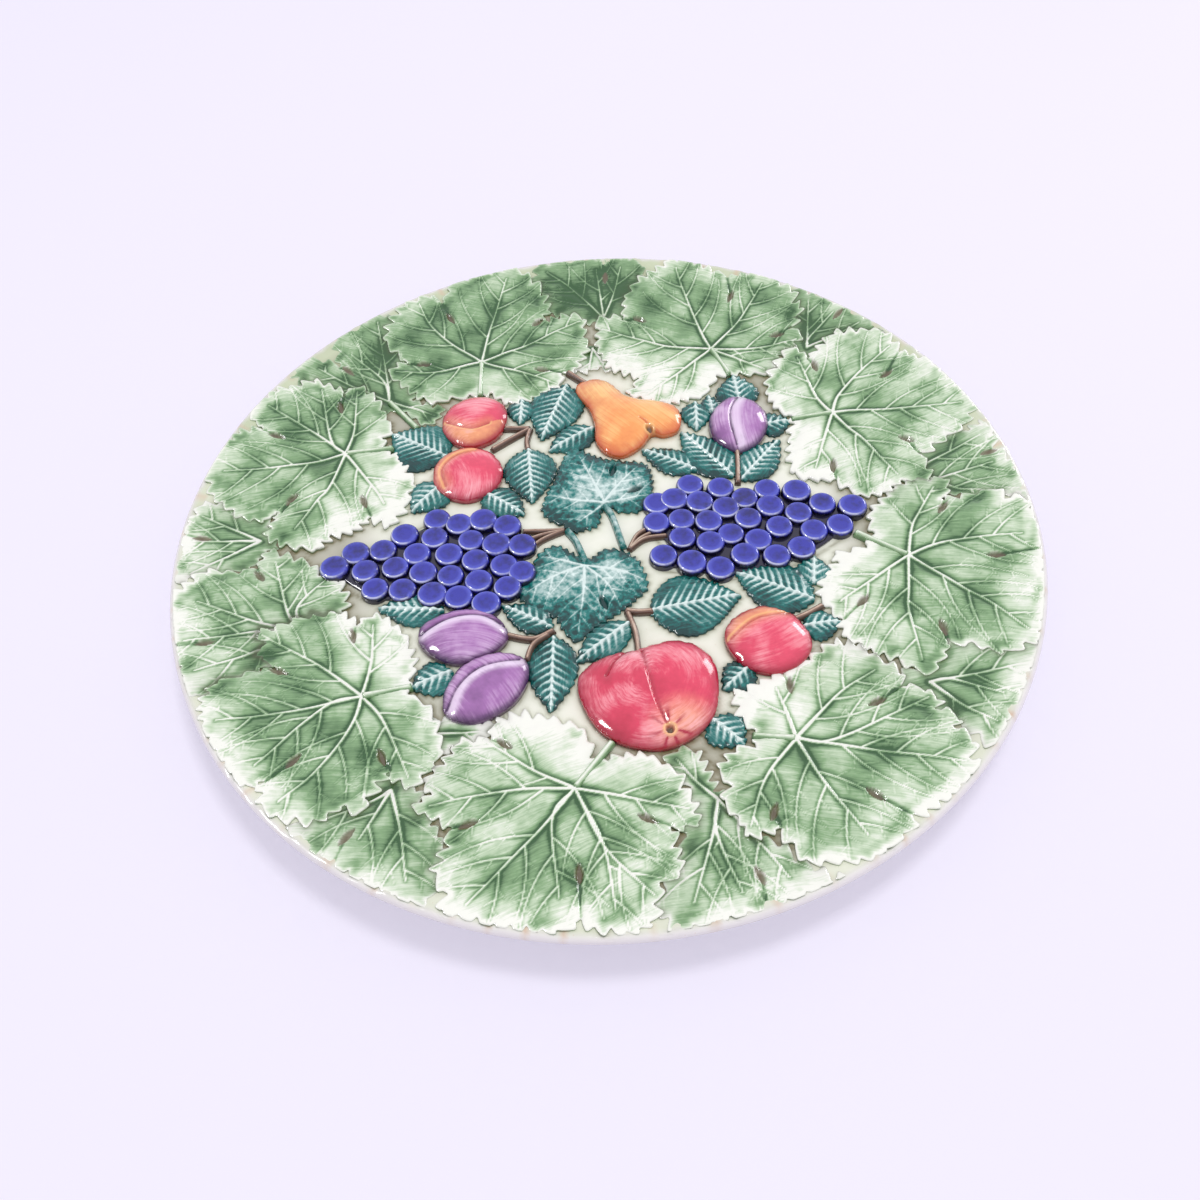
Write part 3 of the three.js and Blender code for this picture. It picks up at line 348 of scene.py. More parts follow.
# Toothed fruit leaves: where the midrib starts, where it ends and half the width.
FRUIT_LEAVES = {
    "peach_leaf_left": ((-63, 47), (-88, 62), 12),
    "peach_leaf_lower_left": ((-64, 33), (-77, 17.5), 7.5),
    "peach_leaf_lower_right": ((-48, 26), (-31, 12.5), 7),
    "peach_leaf_small": ((-32, 80), (-33, 64.5), 5.5),
    "pear_leaf_left": ((-12, 88), (-24, 54), 10),
    "pear_leaf_lower": ((-1, 60), (-21, 47), 6.5),
    "pear_leaf_right": ((43, 72), (42, 54), 5.5),
    "plum_top_leaf_small": ((50, 64), (49, 75.5), 4),
    "plum_top_leaf_upper": ((62, 66), (61, 86.5), 8),
    "plum_top_leaf_right": ((68, 54), (82, 56), 6),
    "plum_top_leaf_left": ((40, 31), (17.5, 45), 6),
    "peach_right_leaf_upper": ((77.5, -31), (80, -17), 6),
    "peach_right_leaf_outer": ((70, -50), (85, -49), 6),
    "peach_right_leaf_lower": ((50, -65), (38.5, -75), 5.5),
    "apple_leaf_right": ((33, -86), (43.5, -98), 6.5),
    "apple_leaf_left": ((8, -43), (-13, -60), 6),
    "plum_leaf_upper": ((-61, -33), (-87, -30), 6.5),
    "plum_leaf_lower": ((-57, -60), (-72, -67), 6.5),
}

# Brown branches, each with its stems and the leaves that grow from it.
BRANCHES = {
    "peach_branch": {
        "stems": [
            [(-40, 62), (-28.5, 61)], [(-45, 49.5), (-36, 56), (-28.5, 61)],
            [(-28.5, 61), (-30, 54), (-29.5, 48)],
        ],
        "leaves": [((-29.5, 50), (-28, 18.5), 9.5)],
    },
    "plum_branch": {
        "stems": [[(-38, -46), (-28, -48.5), (-20, -45)], [(-30.5, -58), (-28, -51), (-22, -46.5)]],
        "leaves": [((-20.5, -47), (-22, -80), 8), ((-20.5, -44), (-40, -32), 5.5)],
    },
    "apple_branch": {
        "stems": [[(10, -59), (9.5, -48), (7, -38.5)], [(6, -38), (11, -39), (17, -39)]],
        "leaves": [((15, -39), (50, -34), 12)],
    },
    "plum_top_branch": {
        "stems": [[(57.5, 41), (56.5, 30), (55.5, 22)]],
        "leaves": [((54.5, 26), (35, 54), 8.5), ((57, 24), (76, 46), 7)],
    },
    "peach_right_branch": {
        "stems": [[(67, -47), (73, -44.5), (79.5, -41)]],
        "leaves": [((77, -38.5), (49, -23), 10)],
    },
}

GRAPE_STALKS = {
    "grape_stalk_left": [
        [(-32, 3.5), (-22, 3), (-15, 3)], [(-31, -9), (-25, -2), (-15, 3)],
        [(-32, -2), (-24, 1), (-16, 2.5)],
    ],
    "grape_stalk_right": [
        [(9.5, -9), (13, -2), (18, 1.5)], [(9.5, -9), (16, -4), (25, -3)],
        [(9.5, -9), (14, -4), (20, -0.5)],
    ],
}

# Berry centres and the outline of the clay under them.
BUNCHES = {
    "grape_bunch_left": {
        "berries": [
            (-66, 11.5), (-57, 8), (-47.5, 9.5), (-38, 6), (-78.5, 4.5), (-66.5, 2), (-52, -0.5),
            (-42, -3.5), (-32, -4.5), (-97, -4), (-86.5, -3), (-73, -6), (-60.5, -7), (-50, -11),
            (-39, -14), (-32, -18), (-104.5, -11), (-92.5, -13), (-81, -12), (-70, -15.5), (-59.5, -17.5),
            (-48.5, -21), (-37.5, -25), (-88, -22), (-77.5, -23), (-66, -26), (-56, -28), (-45.5, -32),
        ],
        "base": [
            (-107, -10), (-98, -3), (-80, 5), (-66, 12), (-46, 10), (-34, 6), (-29, -6), (-30, -22),
            (-36, -30), (-45, -36), (-58, -33), (-78, -28), (-90, -26), (-104, -16),
        ],
    },
    "grape_bunch_right": {
        "berries": [
            (36, 22), (48, 19), (29, 14.5), (39, 12.5), (22, 13), (57, 13), (66.5, 17), (78, 15),
            (49, 8.5), (66.5, 8), (21, 3), (31, 3.5), (41.5, 2), (57, 2), (77, 3.5), (87, 7.5), (98.5, 5),
            (68.5, -3), (30.5, -5.5), (41, -9), (49.5, -5), (59.5, -9), (81.5, -6), (92, -4), (22.5, -14),
            (33, -18), (43.5, -21.5), (53.5, -16), (65.5, -17.5), (75.5, -14),
        ],
        "base": [
            (20, 11), (34, 22), (50, 19), (66, 17), (80, 15), (98, 6), (100, 1), (92, -9), (78, -18),
            (66, -22), (44, -26), (32, -22), (20, -18), (22, -8), (18, 2),
        ],
    },
}

# Round fruit: outline, seam lines and the eye at the flower end. brush is the point that the strokes
# circle, light is the middle of the paler part and how far it spreads.
FRUITS = {
    "peach_lower": {
        "edge": [
            (-69, 36), (-65, 46), (-55, 50.5), (-45, 46.5), (-40, 37), (-43, 27), (-54, 21), (-65, 26),
        ],
        "kind": "peach", "seams": [[(-63, 28), (-65, 37), (-60, 44), (-52, 47.5)]], "brush": (-74, 30),
    },
    "peach_upper": {
        "edge": [
            (-66.5, 66), (-62, 76), (-51, 81), (-41, 76.5), (-38.5, 67), (-43, 56), (-54, 51),
            (-63, 56.5),
        ],
        "kind": "peach", "seams": [[(-64, 65), (-58, 61), (-52, 59.5), (-46, 62)]], "brush": (-52, 44),
    },
    "peach_right": {
        "edge": [
            (41.5, -55), (45, -46), (56, -41), (67, -45), (72.5, -57), (68, -66), (58, -70), (47, -66),
        ],
        "kind": "peach",
        "seams": [[(43.5, -55), (52, -48.5), (58, -46.5), (65, -45)]],
        "brush": (50, -36),
    },
    "apple": {
        "edge": [
            (-12.5, -71), (-9, -63), (0, -58.5), (9, -57), (16, -55), (24, -54), (32, -57), (37, -66),
            (36, -81), (31, -90), (22, -96), (12, -97.5), (0, -93.5), (-8, -85),
        ],
        "kind": "apple",
        "seams": [[(11, -58), (12.5, -68), (14.5, -80), (18, -91)], [(5, -58), (1, -63), (-2, -69)]],
        "eye": (18.5, -92), "brush": (12, -72), "light": ((24, -92), 17),
    },
    "pear": {
        "edge": [
            (-8.5, 83), (-6, 87), (0, 88), (5, 87), (9, 82), (13, 76.5), (20, 73), (28, 71.5), (34, 68),
            (36, 61), (34, 54), (28, 51.5), (23, 52.5), (18, 46), (10, 41), (3, 43.5), (-1, 51), (-1, 60),
            (-3, 70), (-7, 78),
        ],
        "kind": "pear",
        "seams": [[(21.5, 55), (20.5, 57), (18.5, 59)]],
        "eye": (21.8, 53.4),
        "brush": (70, 110),
        "stem": [(-2, 85), (-7, 90), (-12, 95)], "light": ((-6, 88), 36),
    },
    "plum_lower": {
        "edge": [
            (-60, -73), (-54, -60), (-42, -54.5), (-32, -57), (-29.5, -65), (-35, -76), (-47, -83),
            (-57, -81),
        ],
        "kind": "plum",
        "seams": [[(-58, -78), (-54, -69), (-46, -62), (-33, -58.5)]],
        "brush": (-80, -100),
    },
    "plum_upper": {
        "edge": [
            (-70.5, -45), (-66, -38), (-53, -34), (-42, -38), (-37, -47), (-43, -54.5), (-55, -58),
            (-66, -53),
        ],
        "kind": "plum",
        "seams": [[(-69, -45), (-58, -39.5), (-47, -38.5), (-38.5, -43)]],
        "brush": (-54, -90),
    },
    "plum_top": {
        "edge": [(58, 39.5), (49, 46), (47.5, 57), (52, 67), (60, 71.5), (68, 67), (72.5, 57), (68, 45)],
        "kind": "plum", "seams": [[(61, 70), (57, 61), (56, 52), (57.5, 42)]], "brush": (100, 54),
    },
}

# Each fruit's glaze and its colours: the main one, the lighter part, thick glaze and thin glaze.
FRUIT_GLAZES = {
    "peach": ("Peach Glaze", "peach", "peach_light", "peach_deep", "peach_pale"),
    "apple": ("Crimson Fruit Glaze", "apple", "apple_light", "peach_deep", "peach_pale"),
    "pear": ("Pear Glaze", "pear", "pear_light", "pear_red", "pear_light"),
    "plum": ("Plum Glaze", "plum", "plum_light", "plum_deep", "plum_pale"),
}

# Marks that the relief carries for its glaze. The pooling mark is glaze pooled in hollows together with
# painted shade there, at the foot of every wall, round the base of sprigs and in the gaps between grapes.
MARKS = ("vein", "pool", "edge", "tone", "slit", "hole", "sweep", "reach")

# Ridges are worked out in tiles of this size, with the veins this near to them.
RIDGE_TILE = 12.0
RIDGE_REACH = 5.0

# No leaf comes further out than this.
LEAF_LIMIT = 163.2

# Pitch and depth of the teeth of each kind of leaf. A tooth is points with their share of the pitch and
# how far they stand out.
RIM_TEETH = (5.4, 2.8)
CENTRE_TEETH = (3.2, 1.3)
FRUIT_TEETH = (2.8, 0.8)
TOOTH = ((0.0, -0.5), (0.25, -0.05), (0.5, 0.3), (0.68, 0.5), (0.78, 0.42), (0.88, -0.1))

# Veins of the vine leaves: spacing, longest side veins, width and height of the main ones.
RIM_VEINS = {"pitch": 11, "long": 34, "short": 6, "main": 0.6, "rise": 0.9}
CENTRE_VEINS = {"pitch": 7.0, "long": 17, "short": 4, "main": 0.42, "rise": 0.6}
VEIN_STEP = 1.6
VEIN_CLEARANCE = 1.3

# Half the length and half the width of the eye-shaped slits.
EYE_LENGTH = 3.8
EYE_WIDTH = 1.45

# Radii of the half-round stems, and the finer spacing of points on small sprigs.
LEAF_STALK = 1.4
BRANCH = 1.3
GRAPE_STALK = 1.1
FINE_GRAIN = 0.45

# How far a sprig is let into the dish, and the room left under the top of the box.
SEAT = 0.15
TOP_MARGIN = 0.05

# Height of a fruit at its edge, and the skin that is blown up to shape it.
FRUIT_WALL = 1.3
SKIN_STEP = 1.2
SKIN_ROUNDS = 900

# Section of a grape, as shares of its radius and height, from the middle of its dished top.
BERRY_SECTION = (
    (0, 0.96), (0.35, 0.97), (0.58, 0.99), (0.7, 1.0), (0.79, 0.97), (0.87, 0.89), (0.94, 0.74),
    (0.985, 0.52), (1.0, 0.3), (1.0, 0.0),
)
BERRY_SIDES = 28

# Clay under the grapes, glazed dark all over as painted shade in the gaps between them: its height and how
# much of the bunch it fills.
BED_HEIGHT = 1.2
BED_SHARE = 0.92

# Steps round the turned pieces.
DISH_STEPS = 540
FOOT_STEPS = 180

BLACK = (0.0, 0.0, 0.0)
WHITE = (1.0, 1.0, 1.0)

# Share of the table's paleness that it gives off by itself.
TABLE_GLOW = 0.42


def shade(red, green, blue):
    """A screen colour from 0 to 255 as the linear colour that shaders use."""
    parts = [value / 255 for value in (red, green, blue)]
    return tuple(p / 12.92 if p <= 0.04045 else ((p + 0.055) / 1.055) ** 2.4 for p in parts)


def length(name, default, description):
    """A size in millimetres as a length in metres."""
    return FloatProperty(
        name=name, description=description, default=default * MM, unit="LENGTH", precision=5
    )


def colour(name, default, description):
    """A glaze colour, given as a screen colour."""
    return FloatVectorProperty(
        name=name, description=description, default=shade(*default), subtype="COLOR", size=3,
        min=0.0, max=1.0,
    )


class PlateSizes(bpy.types.PropertyGroup):
    """Sizes of the dish and of the relief"""

    rim_radius: length("Rim radius", CAD_BOX[1][0] / MM, "Radius of the plate at the widest of the lip")
    well_radius: length("Well radius", 80, "Radius of the flat middle")
    well_height: length("Well height", 12, "Height of the flat middle above the table")
    rim_rise: length("Rim rise", 11, "How far the rim climbs above the well")
    foot_height: length("Foot height", 5, "Height of the foot ring")
    foot_radius: length("Foot radius", 96, "Outer radius of the foot ring")
    foot_width: length("Foot width", 9, "Width of the foot ring at its top")
    rim_leaf: length("Rim leaf", 2.3, "Thickness of the rim leaves")
    back_leaf: length("Back leaf", 1.2, "Thickness of the leaves behind them")
    centre_leaf: length("Centre leaf", 2.2, "Thickness of the dark vine leaves")
    fruit_leaf: length("Fruit leaf", 2.0, "Thickness of the toothed fruit leaves")
    peach: length("Peach", 7.0, "Height of the peaches")
    plum: length("Plum", 7.5, "Height of the plums")
    pear: length("Pear", 7.5, "Height of the pear")
    apple: length("Apple", 8.5, "Height of the apple")
    berry_radius: length("Berry radius", 5.85, "Radius of a grape")
    berry_height: length("Berry height", 3.8, "Height of a grape")
    grain: length("Grain", 0.5, "Spacing of the points that model the relief")


class PlateGlazes(bpy.types.PropertyGroup):
    """Colours of the glazes"""

    ivory: colour("Ivory", (244, 244, 234), "Ground of the dish")
    celadon: colour("Celadon", (204, 214, 184), "Green tinge of the ground round the sprigs")
    # Olive glaze pooled against the sprigs with painted contact shade right beside them, and the olive
    # ground out on the rim.
    olive: colour("Olive", (118, 110, 80), "Glaze pooled against the sprigs")
    clay: colour("Clay", (214, 186, 164), "Bare fired clay")
    leaf_white: colour("Leaf white", (246, 247, 241), "Thinnest leaf glaze")
    leaf_pale: colour("Leaf pale", (200, 219, 191), "Thin leaf glaze")
    leaf_mid: colour("Leaf green", (132, 169, 122), "Leaf glaze")
    leaf_deep: colour("Leaf deep", (40, 88, 38), "Thick leaf glaze")
    # Painted shadow that the leaves in front cast on the leaves behind them.
    leaf_shadow: colour("Moss", (70, 76, 44), "Glaze in the hollows between leaves")
    hollow: colour("Hollow", (112, 92, 74), "Bare clay in slits and in the eyes of fruit")
    # White glaze on the lip, with a lavender tint that is painted light reflected from the table.
    lip: colour("Lip", (230, 225, 231), "Thin white glaze on the lip")
    teal: colour("Teal", (18, 124, 119), "Fruit leaves")
    teal_deep: colour("Teal deep", (2, 60, 58), "Thick glaze on fruit leaves")
    teal_worn: colour("Teal worn", (226, 243, 242), "Fruit leaf ribs")
    grape: colour("Grape", (44, 48, 168), "Grapes")
    grape_dish: colour("Grape dish", (24, 26, 108), "Middle of the grapes")
    grape_light: colour("Grape rim", (80, 90, 206), "Thin glaze near the rim of the grapes")
    # Painted glint on the near side of each grape's rim.
    grape_highlight: colour("Grape gleam", (214, 218, 250), "Thinnest glaze on the rim of the grapes")
    # Painted shade between the grapes and down their lower sides.
    grape_shadow: colour("Grape deep", (20, 18, 46), "Between the grapes")
    plum: colour("Plum", (172, 115, 184), "Plums")
    plum_deep: colour("Plum deep", (70, 28, 84), "Thick glaze on plums")
    plum_pale: colour("Plum pale", (220, 188, 228), "Thin glaze on plums")
    plum_light: colour("Plum light", (240, 220, 248), "Thin glaze beside the seam of plums")
    peach: colour("Peach red", (237, 76, 108), "Peaches")
    peach_light: colour("Peach orange", (254, 178, 126), "Sunny side of peaches")
    peach_deep: colour("Peach deep", (176, 16, 52), "Thick glaze on peaches and apple")
    peach_pale: colour("Peach pale", (255, 184, 196), "Thin glaze on peaches and apple")
    apple: colour("Apple", (233, 66, 100), "Apple")
    apple_light: colour("Apple light", (252, 168, 136), "Flower end of the apple")
    pear: colour("Pear", (255, 168, 94), "Pear")
    pear_light: colour("Pear light", (255, 206, 136), "Stem end of the pear")
    pear_red: colour("Pear red", (218, 98, 52), "Strokes on the pear")
    bark: colour("Bark", (150, 116, 98), "Stems and branches")
    # The next two are painted highlights along the tops of the branches, stems and the grapes' stalks.
    bark_highlight: colour("Bark pale", (220, 198, 180), "Thin glaze along branches")
    stalk_highlight: colour("Stalk pale", (206, 190, 172), "Thin glaze along the grapes' stalks")
    floor: colour("Floor", (243, 239, 253), "Table")
    glow: colour("Glow", (236, 230, 255), "Pale light of the table in the plate's shadow")


# Lines and distances in plan


def smooth(low, high, value):
    """0 below low, 1 above high and an even curve between them."""
    share = np.clip((value - low) / (high - low), 0, 1)
    return share * share * (3 - 2 * share)


def scatter(index):
    """A number between 0 and 1 that jumps about with the index."""
    value = math.sin(index * 12.9898 + 4.1) * 43758.5453
    return value - math.floor(value)


def seed_at(place):
    """A whole number that belongs to a place in plan."""
    return abs(round(7 * place[0] + 13 * place[1]))


def rounded(points, closed, step):
    """A smooth line through the points, with a point about every step."""
    points = np.array(points, float)
    if closed:
        padded = np.vstack([points[-1], points, points[:2]])
    else:
        padded = np.vstack([2 * points[0] - points[1], points, 2 * points[-1] - points[-2]])
    line = []
    for before, start, end, after in zip(padded, padded[1:], padded[2:], padded[3:]):
        count = max(1, round(float(np.hypot(*(end - start))) / step))
        for i in range(count):
            t = i / count
            bend = 2 * start + (end - before) * t + (2 * before - 5 * start + 4 * end - after) * t * t
            line.append((bend + (3 * start - before - 3 * end + after) * t**3) / 2)
    if not closed:
        line.append(points[-1])
    return np.array(line)


def toothed(corners, pitch, depth, seed):
    """The outline through the corners, cut into leaning teeth."""
    corners = np.array(corners, float)
    x, y = corners.T
    clockwise = np.sum(x * np.roll(y, -1) - y * np.roll(x, -1)) < 0
    if clockwise:
        corners = corners[::-1]
    outline = []
    for index, (start, end) in enumerate(zip(corners, np.roll(corners, -1, axis=0))):
        run = end - start
        span = float(np.hypot(*run))
        out = np.array([run[1], -run[0]]) / span
        count = max(1, round(span / pitch))
        for tooth in range(count):
            size = depth * (0.5 + scatter(seed + index * 7 + tooth))
            for place, lift in TOOTH:
                outline.append(start + run * (tooth + place) / count + out * size * lift)
    return np.array(outline)


def segments(lines):
    """Start points and end points of all the short segments of some lines."""
    starts = np.vstack([line[:-1] for line in lines])
    ends = np.vstack([line[1:] for line in lines])
    return starts, ends


def closed_segments(outline):
    """Start points and end points of the segments round an outline."""
    return outline, np.roll(outline, -1, axis=0)


def gaps(points, starts, ends):
    """Distance from every point to every segment, and the nearest places on them."""
    run = ends - starts
    share = ((points[:, None] - starts) * run).sum(-1) / np.maximum((run * run).sum(-1), 1e-9)
    places = starts + np.clip(share, 0, 1)[..., None] * run
    return np.hypot(*np.moveaxis(points[:, None] - places, -1, 0)), places


def batches(points, count):
    """The points in groups that stay small when each is held against count segments."""
    return np.array_split(points, max(1, len(points) * count // 1500000))


def nearest(points, starts, ends):
    """Distance from each point to the nearest segment, the nearest place and that segment's index."""
    found = []
    for group in batches(points, len(starts)):
        away, places = gaps(group, starts, ends)
        pick = away.argmin(1)
        rows = np.arange(len(group))
        found.append((away[rows, pick], places[rows, pick], pick))
    return tuple(np.concatenate(part) for part in zip(*found))


def inside(points, outline):
    """True for each point within the outline."""
    starts, ends = closed_segments(outline)
    result = []
    for group in batches(points, len(outline)):
        x, y = group[:, :1], group[:, 1:]
        spans = (starts[:, 1] > y) != (ends[:, 1] > y)
        rise = np.where(ends[:, 1] == starts[:, 1], 1e-9, ends[:, 1] - starts[:, 1])
        left = x < (ends[:, 0] - starts[:, 0]) * (y - starts[:, 1]) / rise + starts[:, 0]
        result.append((spans & left).sum(1) % 2 == 1)
    return np.concatenate(result)


def ridges(points, starts, ends, widths, heights, spreads=(1.0,)):
    """Height at each point of rounded ridges along the segments, once for each spread of their widths."""
    result = np.zeros((len(spreads), len(points)))
    tiles = np.floor(points / RIDGE_TILE).astype(int)
    tiles = tiles[:, 0] * 1000 + tiles[:, 1]
    lowest, highest = np.minimum(starts, ends), np.maximum(starts, ends)
    for tile in np.unique(tiles):
        rows = np.flatnonzero(tiles == tile)
        low, high = points[rows].min(0) - RIDGE_REACH, points[rows].max(0) + RIDGE_REACH
        near = ((highest > low) & (lowest < high)).all(1)
        if not near.any():
            continue
        away, _ = gaps(points[rows], starts[near], ends[near])
        for layer, spread in enumerate(spreads):
            rise = heights[near] * np.exp(-((away / (widths[near] * spread)) ** 2))
            result[layer, rows] = rise.max(1)
    return result


# Veins


def walk(line, distance):
    """The point and heading at a distance along a line."""
    steps = np.hypot(*np.diff(line, axis=0).T)
    total = 0.0
    for start, end, step in zip(line, line[1:], steps):
        if total + step >= distance:
            return start + (end - start) * (distance - total) / step, math.atan2(*(end - start)[::-1])
        total += step
    return line[-1], math.atan2(*(line[-1] - line[-2])[::-1])


def side_veins(line, outline, others, pitch, lean, longest, seed):
    """Curved smaller veins that leave both sides of a vein and stop at the edge or at another vein."""
    total = float(np.hypot(*np.diff(line, axis=0).T).sum())
    veins = []
    place = pitch * 0.9
    side = 1 if scatter(seed) > 0.5 else -1
    while place < total * 0.93:
        point, heading = walk(line, place)
        heading += side * lean * (0.85 + 0.3 * scatter(seed + place))
        path = [point]
        while len(path) * VEIN_STEP < longest:
            point = point + VEIN_STEP * np.array([math.cos(heading), math.sin(heading)])
            heading -= side * 0.03
            if not inside(point[None], outline)[0]:
                break
            if len(others) and nearest(point[None], *segments(others))[0][0] < VEIN_CLEARANCE:
                break
            path.append(point)
        if len(path) > 2:
            veins.append(np.array(path))
        side = -side
        place += pitch * (0.42 + 0.16 * scatter(seed + place * 3))
    return veins


def vein_tree(hub, ends, outline, sizes, seed):
    """All the veins of a leaf as segments with a width and a height each."""
    main = [rounded([hub, *end], False, 1.4) for end in ends]
    second = []
    for index, line in enumerate(main):
        others = [other[2:] for other in main if other is not line]
        start = seed + index * 17
        second += side_veins(line, outline, others, sizes["pitch"], 0.82, sizes["long"], start)
    third = []
    for index, line in enumerate(second):
        start = seed + index * 5
        third += side_veins(line, outline, [], sizes["pitch"] * 0.62, 0.9, sizes["short"], start)
    starts, stops, widths, heights = [], [], [], []
    for lines, width, tip, height in (
        (main, sizes["main"], 0.5, sizes["rise"]),
        (second, sizes["main"] * 0.68, 0.6, sizes["rise"] * 0.6),
        (third, sizes["main"] * 0.4, 0.7, sizes["rise"] * 0.26),
    ):
        for line in lines:
            fall = np.linspace(1, tip, len(line) - 1)
            starts.append(line[:-1])
            stops.append(line[1:])
            widths.append(width * fall)
            heights.append(height * fall)
    return np.vstack(starts), np.vstack(stops), np.concatenate(widths), np.concatenate(heights)


# Relief


def dish_height(sizes, points):
    """Height of the dish above the table, in millimetres, at points in plan."""
    radius = np.hypot(points[:, 0], points[:, 1])
    flat = sizes.well_radius / MM
    run = sizes.rim_radius / MM - 2 - flat
    rise = sizes.rim_rise / MM
    bend = (run * run + rise * rise) / (2 * rise)
    out = np.clip(radius - flat, 0, run)
    return sizes.well_height / MM + bend - np.sqrt(bend * bend - out * out)


def rim_fade(sizes, points):
    """Share of its height that the relief keeps as it nears the lip."""
    radius = np.hypot(points[:, 0], points[:, 1])
    return 1 - 0.45 * np.clip((radius - (sizes.rim_radius / MM - 23.5)) / 20, 0, 1)


class Sprig:
    """A piece of relief in the making: one mesh with its marks for the glaze."""

    def __init__(self, sizes, name):
        self.sizes = sizes
        self.name = name
        self.bm = bmesh.new()
        self.marks = {mark: self.bm.verts.layers.float.new(mark) for mark in MARKS}

    def sheet(self, outline, relief, grain=None, material=0):
        """Adds a closed sheet. relief gives the heights and marks of points from their depth."""
        under = self.cut(outline, grain or self.sizes.grain / MM)
        own = set(under)
        faces = [face for face in self.bm.faces if face.verts[0] in own]
        made = bmesh.ops.extrude_face_region(self.bm, geom=faces)["geom"]
        upper = [item for item in made if isinstance(item, bmesh.types.BMVert)]
        self.raise_top(upper, outline, relief)
        # The foot of each wall is marked as painted shade, so the walls darken down to the dish.
        floor = dish_height(self.sizes, np.array([vert.co.xy for vert in under])) - SEAT
        for vert, height in zip(under, floor):
            vert.co.z = height
            vert[self.marks["pool"]] = 1.0
        for vert in (*upper, *under):
            for face in vert.link_faces:
                face.material_index = material

    def cut(self, outline, step):
        """Cuts a flat sheet to the outline. Returns its points."""
        low, high = outline.min(0) - step, outline.max(0) + step
        count = np.maximum(2, np.ceil((high - low) / step)).astype(int)
        middle = Matrix.Translation((*(low + high) / 2, 0))
        place = middle @ Matrix.Diagonal((*(high - low) / 2, 1, 1))
        grid = bmesh.ops.create_grid(
            self.bm, x_segments=int(count[0]), y_segments=int(count[1]), size=1, matrix=place
        )["verts"]
        points = np.array([vert.co.xy for vert in grid])
        away, edge_places, _ = nearest(points, *closed_segments(outline))
        depth = np.where(inside(points, outline), away, -away)
        order = {vert: index for index, vert in enumerate(grid)}
        faces = [face for face in self.bm.faces if face.verts[0] in order]
        outer = [face for face in faces if sum(depth[order[vert]] for vert in face.verts) < 0]
        bmesh.ops.delete(self.bm, geom=outer, context="FACES")
        kept = [vert for vert in grid if vert.is_valid]
        for vert in kept:
            if vert.is_boundary:
                vert.co.xy = edge_places[order[vert]]
        return kept

    def raise_top(self, upper, outline, relief):
        """Lifts the top of a sheet to its relief and sets its marks."""
        points = np.array([vert.co.xy for vert in upper])
        depth = nearest(points, *closed_segments(outline))[0]
        height, marks = relief(points, depth)
        tops = dish_height(self.sizes, points) + height * rim_fade(self.sizes, points)
        tops = np.minimum(tops, CAD_BOX[1][2] / MM - TOP_MARGIN)
        for vert, top in zip(upper, tops):
            vert.co.z = top
        for mark, values in marks.items():
            layer = self.marks[mark]
            for vert, value in zip(upper, values):
                vert[layer] = value

    def turn(self, centre, base, profile, steps):
        """Adds a turned shape. profile lists radius and height along its section."""
        line = [self.bm.verts.new((centre[0] + r, centre[1], base + z)) for r, z in profile]
        edges = [self.bm.edges.new(pair) for pair in zip(line, line[1:])]
        widest = max(radius for radius, _ in profile)
        for vert, (radius, _) in zip(line, profile):
            vert[self.marks["reach"]] = radius / widest
        bmesh.ops.spin(
            self.bm, geom=line + edges, cent=(*centre, 0), axis=(0, 0, 1), angle=2 * math.pi, steps=steps,
            use_merge=True,
        )

    def berry(self, centre, radius, height):
        """Adds a grape, marked for the side that is near the viewer: that side gets a painted glint on its
        rim and the far side of its top painted shade.
        """
        base = float(dish_height(self.sizes, np.array([centre]))[0])
        before = len(self.bm.verts)
        self.turn(centre, base, [(r * radius, z * height) for r, z in BERRY_SECTION], BERRY_SIDES)
        self.bm.verts.ensure_lookup_table()
        for vert in self.bm.verts[before:]:
            toward = 0.55 * (centre[0] - vert.co.x) + 0.83 * (centre[1] - vert.co.y)
            vert[self.marks["tone"]] = 0.5 + 0.5 * toward / radius

    def finish(self, node, slot, materials):
        """Turns the mesh into a piece that stands for a node."""
        bm = self.bm
        bmesh.ops.scale(bm, vec=(MM, MM, MM), verts=bm.verts[:])
        bmesh.ops.remove_doubles(bm, verts=bm.verts[:], dist=2e-6)
        bmesh.ops.recalc_face_normals(bm, faces=bm.faces[:])
        for face in bm.faces:
            face.smooth = True
        mesh = bpy.data.meshes.new(self.name)
        bm.to_mesh(mesh)
        bm.free()
        piece = bpy.data.objects.new(self.name, mesh)
        bpy.context.scene.collection.objects.link(piece)
        for material in materials:
            mesh.materials.append(material)
        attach(piece, "root")
        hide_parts(node)
        return piece


def sweep_about(centre, start, points):
    """Angle round a centre, counted from the direction to start, and distance from it."""
    offset = points - np.array(centre)
    first = math.atan2(start[1] - centre[1], start[0] - centre[0])
    angle = (np.arctan2(offset[:, 1], offset[:, 0]) - first) % (2 * math.pi)
    return angle, np.hypot(offset[:, 0], offset[:, 1])


